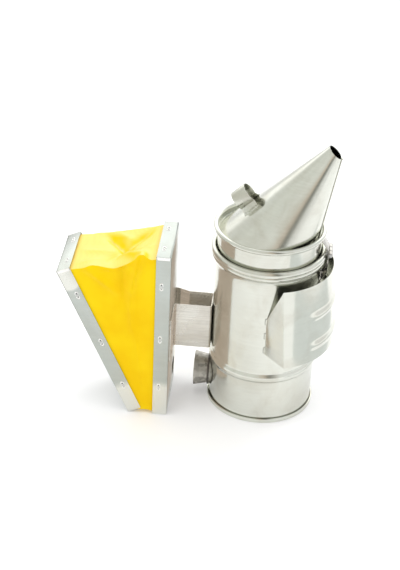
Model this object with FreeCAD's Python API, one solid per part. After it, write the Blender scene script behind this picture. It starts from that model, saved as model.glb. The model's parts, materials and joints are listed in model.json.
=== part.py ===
import FreeCAD, Part
import math
import os

# Bee smoker: a steel fire can with a hinged spout lid and a heat guard, and hand bellows beside it.
# Millimetres. +Z is up and z = 0 is the surface that it stands on. The can's axis is x = y = 0.
# The bellows are on the -X side, the spout leans towards +X, and -Y is the front.

V = FreeCAD.Vector
ALONG_Y = V(0, 1, 0)
BIG = 400.0

# Fire can
sheet = 0.6
can_radius = 50.0
lip_radius = 52.0
lip_height = 4.4
floor_top = 1.6
bead_bottom, bead_top, bead_radius = 46.0, 55.0, 52.0
flare_bottom = 154.0
mouth_radius = 54.6
mouth_height = 170.0

# Fire grate, loose on three legs
grate_radius = 46.5
grate_top = 51.0
grate_thickness = 1.0
grate_hole_radius = 3.0
grate_rings = ((0.0, 1), (14.0, 6), (27.0, 12), (40.0, 15))
leg_radius = 36.0
leg_width, leg_thickness = 12.0, 1.0

# Air inlet, a flared tube on the bellows side
inlet_height = 23.5
inlet_can_radius, inlet_mouth_radius = 13.2, 17.0
inlet_inner_x, inlet_mouth_x = -45.5, -65.0
ring_wire_radius = 0.9

# Heat guard, a slightly conical sheet
guard_bottom, guard_top = 74.0, 155.0
guard_radius_bottom, guard_radius_top = 67.5, 62.5
guard_edge = V(2.6, -49.93, 0)
guard_corner = V(20.1, -61.85, 0)
guard_can_bottom, guard_can_top = 79.8, 118.6
guard_fold_top = 150.7
rib_heights = (90.0, 121.0)
rib_half_height, rib_depth, rib_half_angle = 6.0, 2.2, 50.0
tab_heights = (83.5, 99.5, 115.5)
tab_height, tab_reach = 6.0, 3.4

# Bellows: two sheet pans that face each other
pan_sheet = 0.8
pan_flange = 14.0
board_front, board_rear = -52.0, 16.0
board_middle = (board_front + board_rear) / 2
fixed_face_x = -86.8
fixed_bottom, fixed_top = 0.5, 177.0
moving_foot = V(-124.9, 0, 0.5)
moving_height = 167.0
open_angle = 24.4
skin_inset = pan_sheet + 0.3
skin_sheet = 1.0
frame_inset = skin_inset + skin_sheet + 0.3
frame_sheet = 0.8
frame_depth = 9.0
frame_setback = 1.2
strap_sheet, strap_half_width = 0.8, 25.0
outlet_radius = 9.0

# Clips that pin flange, skin and clamp frame together
clip_setback = 5.5
clip_length, clip_width, clip_proud = 7.0, 2.2, 0.5
clip_shank_length, clip_shank_width = 3.4, 1.0
side_clip_shares = (0.18, 0.49, 0.82)
end_clip_shares = (0.24, 0.80)

# Bracket between the can and the bellows
bracket_sheet = 1.0
bracket_bottom, bracket_top = 57.0, 104.0
bracket_front, bracket_rear = -14.0, 12.0

# Lid and spout
collar_radius = 49.0
collar_bottom = 159.0
roll_centre = (50.75, 190.0)
roll_radius = 2.35
cone_base_radius, cone_base_x, cone_base_z = 46.8, -1.3, 184.0
tip = V(54.0, 0, 271.3)
tip_radius = 8.1
tip_tilt = 42.3
seam_angle, seam_width, seam_height = -10.0, 3.2, 1.0

# Finger loop on the back of the cone
loop_width, loop_height = 15.5, 19.6
loop_along = 39.8
loop_sheet = 0.8

# Lid hinge
pin_x, pin_z = 57.6, 168.5
pin_radius = 1.5
pin_play = 0.05
knuckle_radius = 2.35
leaf_sheet = 0.8
leaf_half_width = 9.0
lid_knuckle_half = 3.8
knuckle_gap = 0.3
knuckle_end = 10.0

# Rivets
rivet_head, rivet_shank = 2.2, 1.2
rivet_head_height = 1.1

# Return spring between the boards
spring_wire = 1.2
spring_coil_radius = 7.0
spring_coil = V(-112.0, 0, 34.0)


def save(node, shape):
    """Writes one node's STEP file."""
    shape.exportStep("parts/" + node + ".step")


def outline(start, *steps):
    """A closed face in the XZ plane. A step is an end point, or a pair: a point on an arc and its end."""
    edges = []
    here = V(start[0], 0, start[1])
    for step in steps + (start,):
        arc = isinstance(step[0], tuple)
        end = V(step[1][0], 0, step[1][1]) if arc else V(step[0], 0, step[1])
        if arc:
            edges.append(Part.Arc(here, V(step[0][0], 0, step[0][1]), end).toShape())
        elif here.distanceToPoint(end) > 1e-6:
            edges.append(Part.makeLine(here, end))
        here = end
    return Part.Face(Part.Wire(edges))


def revolved(face):
    """A face in the XZ plane turned once about the can's axis."""
    return face.revolve(V(0, 0, 0), V(0, 0, 1), 360)


def box(low, high):
    """A block between two corners."""
    return Part.makeBox(high[0] - low[0], high[1] - low[1], high[2] - low[2], V(*low))


def prism(points, height):
    """A polygon pushed along a vector."""
    return Part.Face(Part.makePolygon(points + [points[0]])).extrude(height)


def rounded_path(points, radius):
    """A line through points with each corner turned into an arc."""
    edges = []
    here = points[0]
    for before, corner, after in zip(points, points[1:], points[2:]):
        back = (before - corner).normalize()
        on = (after - corner).normalize()
        half = back.getAngle(on) / 2
        reach = radius / math.tan(half)
        first = corner + back * reach
        last = corner + on * reach
        inward = (back + on).normalize()
        middle = corner + inward * (radius / math.sin(half) - radius)
        edges.append(Part.makeLine(here, first))
        edges.append(Part.Arc(first, middle, last).toShape())
        here = last
    edges.append(Part.makeLine(here, points[-1]))
    return Part.Wire(edges)


def bent_strip(points, radius, thickness, push):
    """Bent sheet: the rounded path through points, thickened to one side, pushed along a vector."""
    return rounded_path(points, radius).makeOffset2D(thickness, 0, True, True).extrude(push)


def rivet(at, out, grip, inner_head=True):
    """A rivet whose domed head sits at a point, with its shank against the outward direction."""
    dome = (rivet_head**2 + rivet_head_height**2) / (2 * rivet_head_height)
    ball = Part.makeSphere(dome, at - out * (dome - rivet_head_height))
    head = ball.common(Part.makeCylinder(rivet_head + 1, rivet_head_height + 1, at, out))
    body = head.fuse(Part.makeCylinder(rivet_shank, grip, at, out * -1))
    if inner_head:
        body = body.fuse(Part.makeCylinder(rivet_head - 0.4, 0.7, at - out * grip, out * -1))
    return body


def wall_radius(along, share):
    """Radius of the guard's outer face at a height share between bottom and top."""
    return along[0] + (along[1] - along[0]) * share


# ---- Fire can ----

def chamber_wall():
    """The can's wall, before its holes are cut: one low bead, then two beads that widen into the mouth."""
    inner = can_radius - sheet
    crest, groove = mouth_radius - 0.6, mouth_radius - 1.1
    return revolved(outline(
        (can_radius, floor_top),
        (can_radius, bead_bottom),
        ((bead_radius, (bead_bottom + bead_top) / 2), (can_radius, bead_top)),
        (can_radius, flare_bottom),
        ((can_radius + 1.0, flare_bottom + 3.4), (can_radius + 3.0, flare_bottom + 6.4)),
        ((crest, flare_bottom + 8.4), (groove, flare_bottom + 10.3)),
        ((mouth_radius, mouth_height - 2.8), (mouth_radius - 0.7, mouth_height)),
        (mouth_radius - 0.7 - sheet, mouth_height),
        ((mouth_radius - sheet, mouth_height - 2.8), (groove - sheet, flare_bottom + 10.3)),
        ((crest - sheet, flare_bottom + 8.4), (inner + 3.0, flare_bottom + 6.4)),
        ((inner + 1.0, flare_bottom + 3.4), (inner, flare_bottom)),
        (inner, bead_top),
        ((bead_radius - sheet, (bead_bottom + bead_top) / 2), (inner, bead_bottom)),
        (inner, floor_top),
    ))


def base_pan():
    """The can's floor with its rolled lip, which the can stands on."""
    return revolved(outline(
        (0, floor_top - sheet),
        (can_radius - 0.6, floor_top - sheet),
        (can_radius - 0.2, 0),
        (lip_radius - 0.8, 0),
        ((lip_radius - 0.23, 0.23), (lip_radius, 0.8)),
        (lip_radius, lip_height - 0.8),
        ((lip_radius - 0.23, lip_height - 0.23), (lip_radius - 0.8, lip_height)),
        (can_radius, lip_height),
        (can_radius, floor_top),
        (0, floor_top),
    ))


def fire_grate():
    """A flat disc with rings of round holes."""
    low = V(0, 0, grate_top - grate_thickness)
    disc = Part.makeCylinder(grate_radius, grate_thickness, low)
    holes = []
    for ring_radius, count in grate_rings:
        for i in range(count):
            turn = math.radians(360.0 * i / count + ring_radius)
            spot = low + V(ring_radius * math.cos(turn), ring_radius * math.sin(turn), -1)
            holes.append(Part.makeCylinder(grate_hole_radius, grate_thickness + 2, spot))
    return disc.cut(holes)


def grate_legs():
    """Three bent legs: a foot on the can's floor, an upright, and a tab under the grate."""
    low, high = floor_top + 0.1, grate_top - grate_thickness
    points = [V(leg_radius - 8, 0, low), V(leg_radius, 0, low), V(leg_radius, 0, high), V(leg_radius - 8, 0, high)]
    leg = bent_strip(points, 2.5, leg_thickness, V(0, leg_width, 0))
    leg.translate(V(0, -leg_width / 2, 0))
    legs = []
    for turn in (0, 120, 240):
        copy = leg.copy()
        copy.rotate(V(0, 0, 0), V(0, 0, 1), turn)
        legs.append(copy)
    return Part.makeCompound(legs)


def inlet_cone(inset):
    """The space inside the inlet tube's surface, drawn in by an inset."""
    length = inlet_inner_x - inlet_mouth_x
    return Part.makeCone(
        inlet_can_radius - inset, inlet_mouth_radius - inset, length, V(inlet_inner_x, 0, inlet_height), V(-1, 0, 0)
    )


def air_inlet_tube():
    """The flared tube, open at both ends."""
    return inlet_cone(0).cut(inlet_cone(sheet))


def inlet_ring():
    """The wire ring round the tube, close against the can."""
    x = -can_radius - ring_wire_radius - 0.1
    radius = inlet_can_radius + ring_wire_radius + 0.9
    return Part.makeTorus(radius, ring_wire_radius, V(x, 0, inlet_height), V(1, 0, 0)).cut(inlet_cone(0))


# ---- Heat guard ----

def guard_face_radius(height, radii=(guard_radius_bottom, guard_radius_top)):
    """Radius of the guard's outer face at a height."""
    share = (height - guard_bottom) / (guard_top - guard_bottom)
    return wall_radius(radii, share)


def guard_shell(ribs):
    """The guard's conical sheet all the way round, with or without its embossed ribs."""
    outer = []
    for z in rib_heights if ribs else ():
        low, high = z - rib_half_height, z + rib_half_height
        outer.append((guard_face_radius(low), low))
        outer.append(((guard_face_radius(z) + rib_depth, z), (guard_face_radius(high), high)))
    inner = []
    for z in reversed(rib_heights) if ribs else ():
        low, high = z - rib_half_height, z + rib_half_height
        inner.append((guard_face_radius(high) - sheet, high))
        inner.append(((guard_face_radius(z) + rib_depth - sheet, z), (guard_face_radius(low) - sheet, low)))
    top = [(guard_radius_top, guard_top), (guard_radius_top - sheet, guard_top)]
    steps = outer + top + inner + [(guard_radius_bottom - sheet, guard_bottom)]
    return revolved(outline((guard_radius_bottom, guard_bottom), *steps))


def guard_sector(edge, corner):
    """The part of space on the +X side of the two flange planes."""
    far = edge + (corner - edge).normalize() * 90
    front = [edge, far, V(200, far.y, 0)]
    rear = [V(point.x, -point.y, 0) for point in reversed(front)]
    return prism(front + rear, V(0, 0, BIG))


def wedge(half_angle):
    """The part of space within an angle of the +X axis."""
    reach = 120 * math.tan(math.radians(half_angle))
    return prism([V(0, 0, 0), V(120, -reach, 0), V(120, reach, 0)], V(0, 0, BIG))


def guard_flange():
    """The front side flange, with the three tabs that pass through the can's wall."""
    across = (guard_corner - guard_edge).normalize()
    normal = V(0, 0, 1).cross(across)

    def spot(along, height):
        return guard_edge + across * along + V(0, 0, height)

    fold = (guard_corner - guard_edge).Length
    plate = prism(
        [spot(1.2, guard_can_bottom), spot(1.2, guard_can_top), spot(fold - 2, guard_fold_top),
         spot(fold + 8, guard_top), spot(fold + 8, guard_bottom), spot(fold - 1, guard_bottom)],
        normal * sheet,
    )
    solid_cone = Part.makeCone(
        guard_radius_bottom, guard_radius_top, guard_top - guard_bottom, V(0, 0, guard_bottom)
    )
    flange = plate.common(solid_cone)
    for height in tab_heights:
        low, high = height - tab_height / 2, height + tab_height / 2
        tab = prism([spot(-tab_reach, low), spot(-tab_reach, high), spot(2, high), spot(2, low)], normal * sheet)
        flange = flange.fuse(tab)
    return flange


def heat_guard():
    """The guard's panel and its two side flanges, folded from one sheet."""
    plain = guard_shell(False)
    ribbed = guard_shell(True)
    inside = wedge(rib_half_angle)
    panel = plain.cut(inside).fuse(ribbed.common(inside)).common(guard_sector(guard_edge, guard_corner))
    front = guard_flange()
    rear = front.mirror(V(0, 0, 0), ALONG_Y)
    return panel.fuse([front, rear]).removeSplitter()


# ---- Bellows ----

def pan(x, bottom, top, facing):
    """A folded sheet pan: a flat face at x and a flange all round that points in +X or -X."""
    inside = x + facing * pan_sheet
    edge = x + facing * pan_flange
    outer = box((min(x, edge), board_front, bottom), (max(x, edge), board_rear, top))
    past = edge + facing
    cavity = box(
        (min(inside, past), board_front + pan_sheet, bottom + pan_sheet),
        (max(inside, past), board_rear - pan_sheet, top - pan_sheet),
    )
    return outer.cut(cavity)


def clamp_frame(x, bottom, top, facing):
    """The band inside a pan's flange that holds the skin against it."""
    end = x + facing * (pan_flange - frame_setback)
    start = end - facing * frame_depth
    xs = (min(start, end), max(start, end))
    rings = []
    for inset, reach in ((frame_inset, 0), (frame_inset + frame_sheet, 1)):
        rings.append(box(
            (xs[0] - reach, board_front + inset, bottom + inset), (xs[1] + reach, board_rear - inset, top - inset)
        ))
    return rings[0].cut(rings[1])


def clip(at, out, along, grow=0.0):
    """A pressed clip: a small plate on the flange and a shank through flange, skin and clamp frame."""
    across = out.cross(along)
    depth = frame_inset + frame_sheet + 0.4

    def block(length, width, low, high):
        corner = at - along * (length / 2) - across * (width / 2) + out * low
        face = [corner, corner + along * length, corner + along * length + across * width, corner + across * width]
        return prism(face, out * (high - low))

    plate = block(clip_length + 2 * grow, clip_width + 2 * grow, 0, clip_proud + grow)
    shank = block(clip_shank_length + 2 * grow, clip_shank_width + 2 * grow, -depth - grow, 0.1)
    return plate.fuse(shank)


def clips(x, bottom, top, facing, grow=0.0):
    """All the clips round one pan."""
    place = x + facing * (pan_flange - clip_setback)
    found = []
    for share in side_clip_shares:
        z = bottom + (top - bottom) * share
        found.append(clip(V(place, board_front, z), V(0, -1, 0), V(0, 0, 1), grow))
        found.append(clip(V(place, board_rear, z), V(0, 1, 0), V(0, 0, 1), grow))
    for share in end_clip_shares:
        y = board_front + (board_rear - board_front) * share
        found.append(clip(V(place, y, top), V(0, 0, 1), ALONG_Y, grow))
    return found


def swung(shape):
    """A shape drawn upright at x = 0 moved to where the open bellows hold the moving board."""
    moved = shape.copy()
    moved.rotate(V(0, 0, 0), ALONG_Y, -open_angle)
    moved.translate(moving_foot)
    return moved


def on_moving(depth, height, y=0.0):
    """A point given by its depth behind the moving board's face and its height along the board."""
    turn = math.radians(open_angle)
    return moving_foot + V(
        depth * math.cos(turn) - height * math.sin(turn), y, depth * math.sin(turn) + height * math.cos(turn)
    )


def skin_prism(extra, y_inset, past):
    """The wedge inside the two flanges, drawn in by an extra inset, and past its two ends by a length."""
    inset = skin_inset + extra
    edge = fixed_face_x - pan_flange
    deep = 10.0 + past
    points = [
        V(edge + deep, 0, fixed_bottom + inset),
        V(edge, 0, fixed_bottom + inset),
        on_moving(pan_flange, inset),
        on_moving(pan_flange - deep, inset),
        on_moving(pan_flange - deep, moving_height - inset),
        on_moving(pan_flange, moving_height - inset),
        V(edge, 0, fixed_top - inset),
        V(edge + deep, 0, fixed_top - inset),
    ]
    wedge_solid = prism(points, V(0, board_rear - board_front - 2 * y_inset, 0))
    wedge_solid.translate(V(0, board_front + y_inset, 0))
    return wedge_solid


def bellows_skin(cutters):
    """The coated-cloth skin: a wedge-shaped sleeve clamped in both pans, with room round each clip."""
    outer = skin_prism(0, skin_inset, 0)
    inner = skin_prism(skin_sheet, skin_inset + skin_sheet, 3)
    return outer.cut(inner).cut(cutters)


def hinge_strap():
    """The doubled strip across the bottom, inside the skin, on which the boards turn."""
    lift = frame_inset + frame_sheet
    edge = fixed_face_x - pan_flange
    line = [
        V(edge + 9, 0, fixed_bottom + lift), V(edge - 1, 0, fixed_bottom + lift),
        on_moving(pan_flange + 1, lift + 0.4), on_moving(pan_flange - 8, lift + 0.4),
    ]
    strap = bent_strip(line, 2.0, -strap_sheet, V(0, 2 * strap_half_width, 0))
    strap.translate(V(0, board_middle - strap_half_width, 0))
    return strap


def spring_ends():
    """Where the spring's two arms press on the fixed and the moving board."""
    gap = spring_wire + 0.6
    return (
        V(fixed_face_x - pan_sheet - gap, 0, 118.0),
        on_moving(pan_sheet + gap, 124.0),
    )


def return_spring():
    """A V-shaped wire spring: a coil near the hinge and one arm to each board."""
    solid = Part.makeTorus(spring_coil_radius, spring_wire, spring_coil, ALONG_Y)
    for side, end in zip((1, -1), spring_ends()):
        reach = end - spring_coil
        turn = math.acos(spring_coil_radius / reach.Length)
        start = V(reach.x, reach.y, reach.z).normalize() * spring_coil_radius
        spoke = FreeCAD.Rotation(ALONG_Y, side * math.degrees(turn)).multVec(start)
        foot = spring_coil + spoke
        arm = Part.makeCylinder(spring_wire, (end - foot).Length, foot, end - foot)
        solid = solid.fuse(arm).fuse(Part.makeSphere(spring_wire, end))
    solid.translate(V(0, board_middle, 0))
    return solid


def spring_saddle():
    """A small channel, drawn against x = 0 and open towards -X, that keeps a spring arm in place."""
    channel = box((-4.0, -4.0, -8.0), (0, 4.0, 8.0))
    groove = box((-5.0, -2.0, -9.0), (-0.5, 2.0, 9.0))
    return channel.cut(groove)


# ---- Bracket ----

def bellows_bracket():
    """A hat-section strip: crown on the can, two legs, and a flange on the board's face and its rear flange."""
    face, half = fixed_face_x, bracket_sheet
    points = [
        V(face + half, -44.0, 0), V(face + half, bracket_front, 0),
        V(-can_radius, bracket_front, 0), V(-can_radius, bracket_rear, 0),
        V(-74.0, bracket_rear, 0), V(face + 1.5, board_rear + half, 0), V(-93.4, board_rear + half, 0),
    ]
    strip = bent_strip(points, 2.5, -bracket_sheet, V(0, 0, bracket_top - bracket_bottom))
    strip.translate(V(0, 0, bracket_bottom))
    return strip


# ---- Lid ----

def lid_collar():
    """The band that plugs into the can's mouth, with its edge rolled outward round a wire."""
    inner = collar_radius - sheet
    rx, rz = roll_centre
    hollow = roll_radius - sheet

    def on_roll(radius, angle):
        turn = math.radians(angle)
        return (rx + radius * math.cos(turn), rz + radius * math.sin(turn))

    return revolved(outline(
        (inner, collar_bottom),
        on_roll(roll_radius, 180),
        (on_roll(roll_radius, 90), on_roll(roll_radius, 0)),
        (on_roll(roll_radius, -60), on_roll(roll_radius, -120)),
        on_roll(hollow, -120),
        (on_roll(hollow, -60), on_roll(hollow, 0)),
        (on_roll(hollow, 90), on_roll(hollow, 180)),
        (collar_radius, collar_bottom),
    ))


def circle_wire(centre, radius, tilt):
    """A circle tilted about the Y axis, whose seam is on its +X side."""
    wire = Part.Wire(Part.makeCircle(radius))
    wire.rotate(V(0, 0, 0), ALONG_Y, tilt)
    wire.translate(centre)
    return wire


def cone_body(inset):
    """The oblique cone between the base circle and the tip circle, drawn in by an inset."""
    base = circle_wire(V(cone_base_x, 0, cone_base_z), cone_base_radius - inset, 0)
    end = circle_wire(tip, tip_radius - inset, tip_tilt)
    return Part.makeLoft([base, end], True, True)


def spout_cone():
    """The cone's sheet, and the flat ring that joins its foot to the collar."""
    ring = Part.makeCylinder(collar_radius - sheet, sheet, V(0, 0, cone_base_z - sheet))
    hole = Part.makeCylinder(cone_base_radius - sheet, 3, V(cone_base_x, 0, cone_base_z - 1))
    return cone_body(0).cut(cone_body(sheet)).fuse(ring.cut(hole)).removeSplitter()


def cone_point(angle, share, height):
    """A point at a share of the way up the cone, raised by a height off its surface."""
    turn = math.radians(angle)
    spoke = V(math.cos(turn), math.sin(turn), 0)
    foot = V(cone_base_x, 0, cone_base_z) + spoke * (cone_base_radius + height)
    leaning = FreeCAD.Rotation(ALONG_Y, tip_tilt).multVec(spoke)
    head = tip + leaning * (tip_radius + height)
    return foot + (head - foot) * share


def spout_seam():
    """The folded seam along the cone's +X side."""
    sections = []
    for share, radius in ((0.0, cone_base_radius), (1.0, tip_radius)):
        spread = math.degrees(seam_width / 2 / radius)
        corners = []
        for side, height in ((-1, -0.3), (1, -0.3), (1, seam_height), (-1, seam_height)):
            corners.append(cone_point(seam_angle + side * spread, share, height))
        sections.append(Part.makePolygon(corners + [corners[0]]))
    return Part.makeLoft(sections, True, True).cut(cone_body(0))


def finger_loop():
    """A bent strip: two feet on the cone's back and a round loop between them."""
    foot_out, foot_in = (13.5, -1.9), (9.3, -0.8)
    shoulder = (8.2, 4.6)
    left = [V(0, -foot_out[0], foot_out[1]), V(0, -foot_in[0], foot_in[1]), V(0, -shoulder[0], shoulder[1])]
    right = [V(0, -point.y, point.z) for point in reversed(left)]
    top = V(0, 0, loop_height - loop_sheet)
    edges = [
        Part.makeLine(left[0], left[1]), Part.makeLine(left[1], left[2]),
        Part.Arc(left[2], top, right[0]).toShape(),
        Part.makeLine(right[0], right[1]), Part.makeLine(right[1], right[2]),
    ]
    loop = Part.Wire(edges).makeOffset2D(-loop_sheet, 0, True, True).extrude(V(loop_width, 0, 0))
    low = V(cone_base_x - cone_base_radius, 0, cone_base_z)
    high = cone_point(180, 1.0, 0)
    along = (high - low).normalize()
    loop.translate(V(-loop_width / 2, 0, 0))
    loop.rotate(V(0, 0, 0), ALONG_Y, -math.degrees(math.atan2(along.z, along.x)))
    loop.translate(low + along * loop_along)
    return loop.cut(cone_body(0))


# ---- Lid hinge ----

def knuckle(low, high, bore):
    """A hinge knuckle round the pin between two y positions."""
    at = V(pin_x, low, pin_z)
    outer = Part.makeCylinder(knuckle_radius, high - low, at, ALONG_Y)
    return outer, Part.makeCylinder(bore, high - low, at, ALONG_Y)


def curved_plate(radius, low, high, half_width):
    """A leaf's plate that hugs a round wall."""
    ring = Part.makeCylinder(radius + leaf_sheet, high - low, V(0, 0, low))
    ring = ring.cut(Part.makeCylinder(radius, high - low, V(0, 0, low)))
    return ring.common(box((0, -half_width, low), (BIG, half_width, high)))


def leaf_strap(inner, outer, half_width):
    """A leaf's strap between an inner and an outer line in the XZ plane."""
    points = [V(x, -half_width, z) for x, z in inner + outer[::-1]]
    return prism(points, V(0, 2 * half_width, 0))


def can_leaf():
    """The can's hinge leaf: plate on the wall, strap over the beads, two knuckles."""
    strap_x = pin_x - knuckle_radius
    inner = [(can_radius - 2, 138.0), (can_radius, 141.0), (strap_x, 150.0), (strap_x, pin_z)]
    outer = [(can_radius - 2, 137.0), (can_radius + 0.5, 140.4), (strap_x + leaf_sheet, 149.7)]
    outer.append((strap_x + leaf_sheet, pin_z))
    leaf = leaf_strap(inner, outer, leaf_half_width).fuse(curved_plate(can_radius, 128.0, 141.0, leaf_half_width))
    inner_end = lid_knuckle_half + knuckle_gap
    leaf = leaf.cut(box((0, -inner_end, pin_z - 3.2), (BIG, inner_end, BIG)))
    for low, high in ((-knuckle_end, -inner_end), (inner_end, knuckle_end)):
        outer, bore = knuckle(low, high, pin_radius)
        leaf = leaf.fuse(outer).cut(bore)
    return leaf.cut(Part.makeCylinder(can_radius, BIG)).removeSplitter()


def lid_leaf():
    """The lid's hinge leaf: plate on the collar under the rolled rim, and one knuckle between the can's two."""
    strap_x = pin_x - knuckle_radius
    neck = box((strap_x, -lid_knuckle_half, pin_z), (strap_x + leaf_sheet, lid_knuckle_half, 172.5))
    inner = [(strap_x, 172.0), (collar_radius, 181.0), (collar_radius - 2, 183.0)]
    outer = [(strap_x + leaf_sheet, 172.4), (collar_radius + 0.6, 181.7), (collar_radius - 2, 184.0)]
    leaf = neck.fuse(leaf_strap(inner, outer, leaf_half_width - 1))
    leaf = leaf.fuse(curved_plate(collar_radius, 180.0, 187.0, leaf_half_width - 1))
    outer, bore = knuckle(-lid_knuckle_half, lid_knuckle_half, pin_radius + pin_play)
    return leaf.fuse(outer).cut(bore).cut(Part.makeCylinder(collar_radius, BIG)).removeSplitter()


def hinge_pin():
    """The wire pin with a small head at each end."""
    end = knuckle_end + 0.2
    pin = Part.makeCylinder(pin_radius, 2 * end, V(pin_x, -end, pin_z), ALONG_Y)
    for y in (-end - 0.8, end):
        pin = pin.fuse(Part.makeCylinder(pin_radius + 0.5, 0.8, V(pin_x, y, pin_z), ALONG_Y))
    return pin


def round_rivets(radius, height, spread, grip, inner_head):
    """Rivets side by side through a leaf and a round wall on the +X side."""
    found = []
    for side in (-1, 1):
        turn = math.radians(side * spread)
        out = V(math.cos(turn), math.sin(turn), 0)
        found.append(rivet(out * radius + V(0, 0, height), out, grip, inner_head))
    return found


# ---- Build ----

def build():
    """Makes every node and writes its file."""
    os.makedirs("parts", exist_ok=True)

    wall = chamber_wall().cut(inlet_cone(0))
    guard = heat_guard()
    across = (guard_corner - guard_edge).normalize()
    slots = []
    for height in tab_heights:
        low = guard_edge + across * (-tab_reach - 1) + V(0, 0, height - tab_height / 2)
        slot = prism([low, low + across * 6, low + across * 6 + V(0, 0, tab_height), low + V(0, 0, tab_height)],
                     V(0, 0, 1).cross(across) * sheet)
        slots += [slot, slot.mirror(V(0, 0, 0), ALONG_Y)]

    crown = -can_radius - bracket_sheet
    can_rivets = [rivet(V(crown, -1, z), V(-1, 0, 0), bracket_sheet + sheet) for z in (67.0, 94.0)]
    board_rivets = [
        rivet(V(fixed_face_x + bracket_sheet, y, z), V(1, 0, 0), bracket_sheet + pan_sheet)
        for y, z in ((-27.0, 80.0), (-38.0, 65.0))
    ]
    rear_rivets = [
        rivet(V(-90.4, board_rear + bracket_sheet, z), ALONG_Y, bracket_sheet + pan_sheet, False)
        for z in (68.0, 93.0)
    ]
    spare_hole = Part.makeCylinder(1.8, 4, V(fixed_face_x - 1.5, -40.0, 92.0), V(1, 0, 0))
    leaf_rivets = round_rivets(can_radius + leaf_sheet, 134.0, 6.0, leaf_sheet + sheet, True)
    lid_rivets = round_rivets(collar_radius + leaf_sheet, 184.2, 5.0, leaf_sheet + sheet, False)

    save("chamber_wall", wall.cut(slots + can_rivets + leaf_rivets))
    save("base_pan", base_pan())
    save("fire_grate", fire_grate())
    save("grate_legs", grate_legs())
    save("air_inlet_tube", air_inlet_tube())
    save("inlet_ring", inlet_ring())
    save("heat_guard", guard)

    outlet = Part.makeCylinder(outlet_radius, 6, V(fixed_face_x - 4, 0, inlet_height), V(1, 0, 0))
    fixed_clips = clips(fixed_face_x, fixed_bottom, fixed_top, -1)
    save("fixed_board", pan(fixed_face_x, fixed_bottom, fixed_top, -1).cut(
        [outlet, spare_hole] + fixed_clips + board_rivets + rear_rivets))
    save("fixed_clamp_frame", clamp_frame(fixed_face_x, fixed_bottom, fixed_top, -1).cut(fixed_clips))
    save("fixed_board_clips", Part.makeCompound(fixed_clips))

    moving_clips = clips(0, 0, moving_height, 1)
    save("moving_board", swung(pan(0, 0, moving_height, 1).cut(moving_clips)))
    save("moving_clamp_frame", swung(clamp_frame(0, 0, moving_height, 1).cut(moving_clips)))
    save("moving_board_clips", swung(Part.makeCompound(moving_clips)))

    room = clips(fixed_face_x, fixed_bottom, fixed_top, -1, 0.4)
    room += [swung(cutter) for cutter in clips(0, 0, moving_height, 1, 0.4)]
    save("bellows_skin", bellows_skin(room))
    save("hinge_strap", hinge_strap())
    save("return_spring", return_spring())
    saddle = spring_saddle()
    saddle.translate(V(fixed_face_x - pan_sheet, board_middle, 108.0))
    save("fixed_spring_clip", saddle)
    mirrored = spring_saddle().mirror(V(0, 0, 0), V(1, 0, 0))
    mirrored.translate(V(pan_sheet, board_middle, 114.0))
    save("moving_spring_clip", swung(mirrored))

    save("bellows_bracket", bellows_bracket().cut([spare_hole] + can_rivets + board_rivets + rear_rivets))
    save("bracket_can_rivets", Part.makeCompound(can_rivets))
    save("bracket_board_rivets", Part.makeCompound(board_rivets + rear_rivets))

    save("lid_collar", lid_collar().cut(lid_rivets))
    save("lid_rim_wire", Part.makeTorus(roll_centre[0], roll_radius - sheet - 0.1, V(0, 0, roll_centre[1])))
    save("spout_cone", spout_cone())
    save("spout_seam", spout_seam())
    save("finger_loop", finger_loop())
    save("lid_hinge_lid_leaf", lid_leaf().cut(lid_rivets))
    save("lid_hinge_lid_rivets", Part.makeCompound(lid_rivets))
    save("lid_hinge_can_leaf", can_leaf().cut(leaf_rivets))
    save("lid_hinge_can_rivets", Part.makeCompound(leaf_rivets))
    save("lid_hinge_pin", hinge_pin())


build()
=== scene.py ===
import json
import math

import bmesh
import bpy
from mathutils import Matrix, Vector


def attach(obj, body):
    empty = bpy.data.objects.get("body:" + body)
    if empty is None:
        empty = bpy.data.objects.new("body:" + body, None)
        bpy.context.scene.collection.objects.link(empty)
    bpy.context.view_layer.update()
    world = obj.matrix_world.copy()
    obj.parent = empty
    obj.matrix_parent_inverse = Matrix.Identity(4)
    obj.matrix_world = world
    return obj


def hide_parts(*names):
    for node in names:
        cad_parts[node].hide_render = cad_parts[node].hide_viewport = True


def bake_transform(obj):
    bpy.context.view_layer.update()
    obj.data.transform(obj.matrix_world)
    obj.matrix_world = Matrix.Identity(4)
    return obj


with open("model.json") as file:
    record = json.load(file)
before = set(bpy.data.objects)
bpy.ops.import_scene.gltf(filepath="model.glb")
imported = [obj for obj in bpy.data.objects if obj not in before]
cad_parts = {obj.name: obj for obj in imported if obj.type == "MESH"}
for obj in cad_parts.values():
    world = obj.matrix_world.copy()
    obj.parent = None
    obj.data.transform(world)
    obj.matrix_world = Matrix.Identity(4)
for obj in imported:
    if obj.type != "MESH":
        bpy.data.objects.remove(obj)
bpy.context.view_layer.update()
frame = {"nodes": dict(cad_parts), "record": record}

bl_info = {
    "name": "Bee Smoker",
    "version": (1, 0, 0),
    "blender": (4, 5, 0),
    "location": "View3D > Sidebar > Smoker",
    "description": "Models the sheet metal, bellows cloth and fittings of a bee smoker on its frame",
    "category": "Add Mesh",
}

ROUND = 144
Y = Vector((0, 1, 0))
Z = Vector((0, 0, 1))

# Fire can, in metres: radius and height along the wall
CAN_R = 0.0500
BEAD_LOW, BEAD_HIGH = 0.0460, 0.0550
PORT_Z = 0.0235  # middle of the air inlet and of the bellows' outlet

# Spout cone
CONE_FOOT = Vector((-0.0013, 0, 0.1840))
CONE_FOOT_R = 0.0468
CONE_TIP = Vector((0.0540, 0, 0.2713))
CONE_TIP_R = 0.0081
CONE_TILT = math.radians(42.3)
SEAM_TURN = -10.0

# Rolled rim of the lid
ROLL_R, ROLL_Z, ROLL_SIZE = 0.05075, 0.1900, 0.00235

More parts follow.
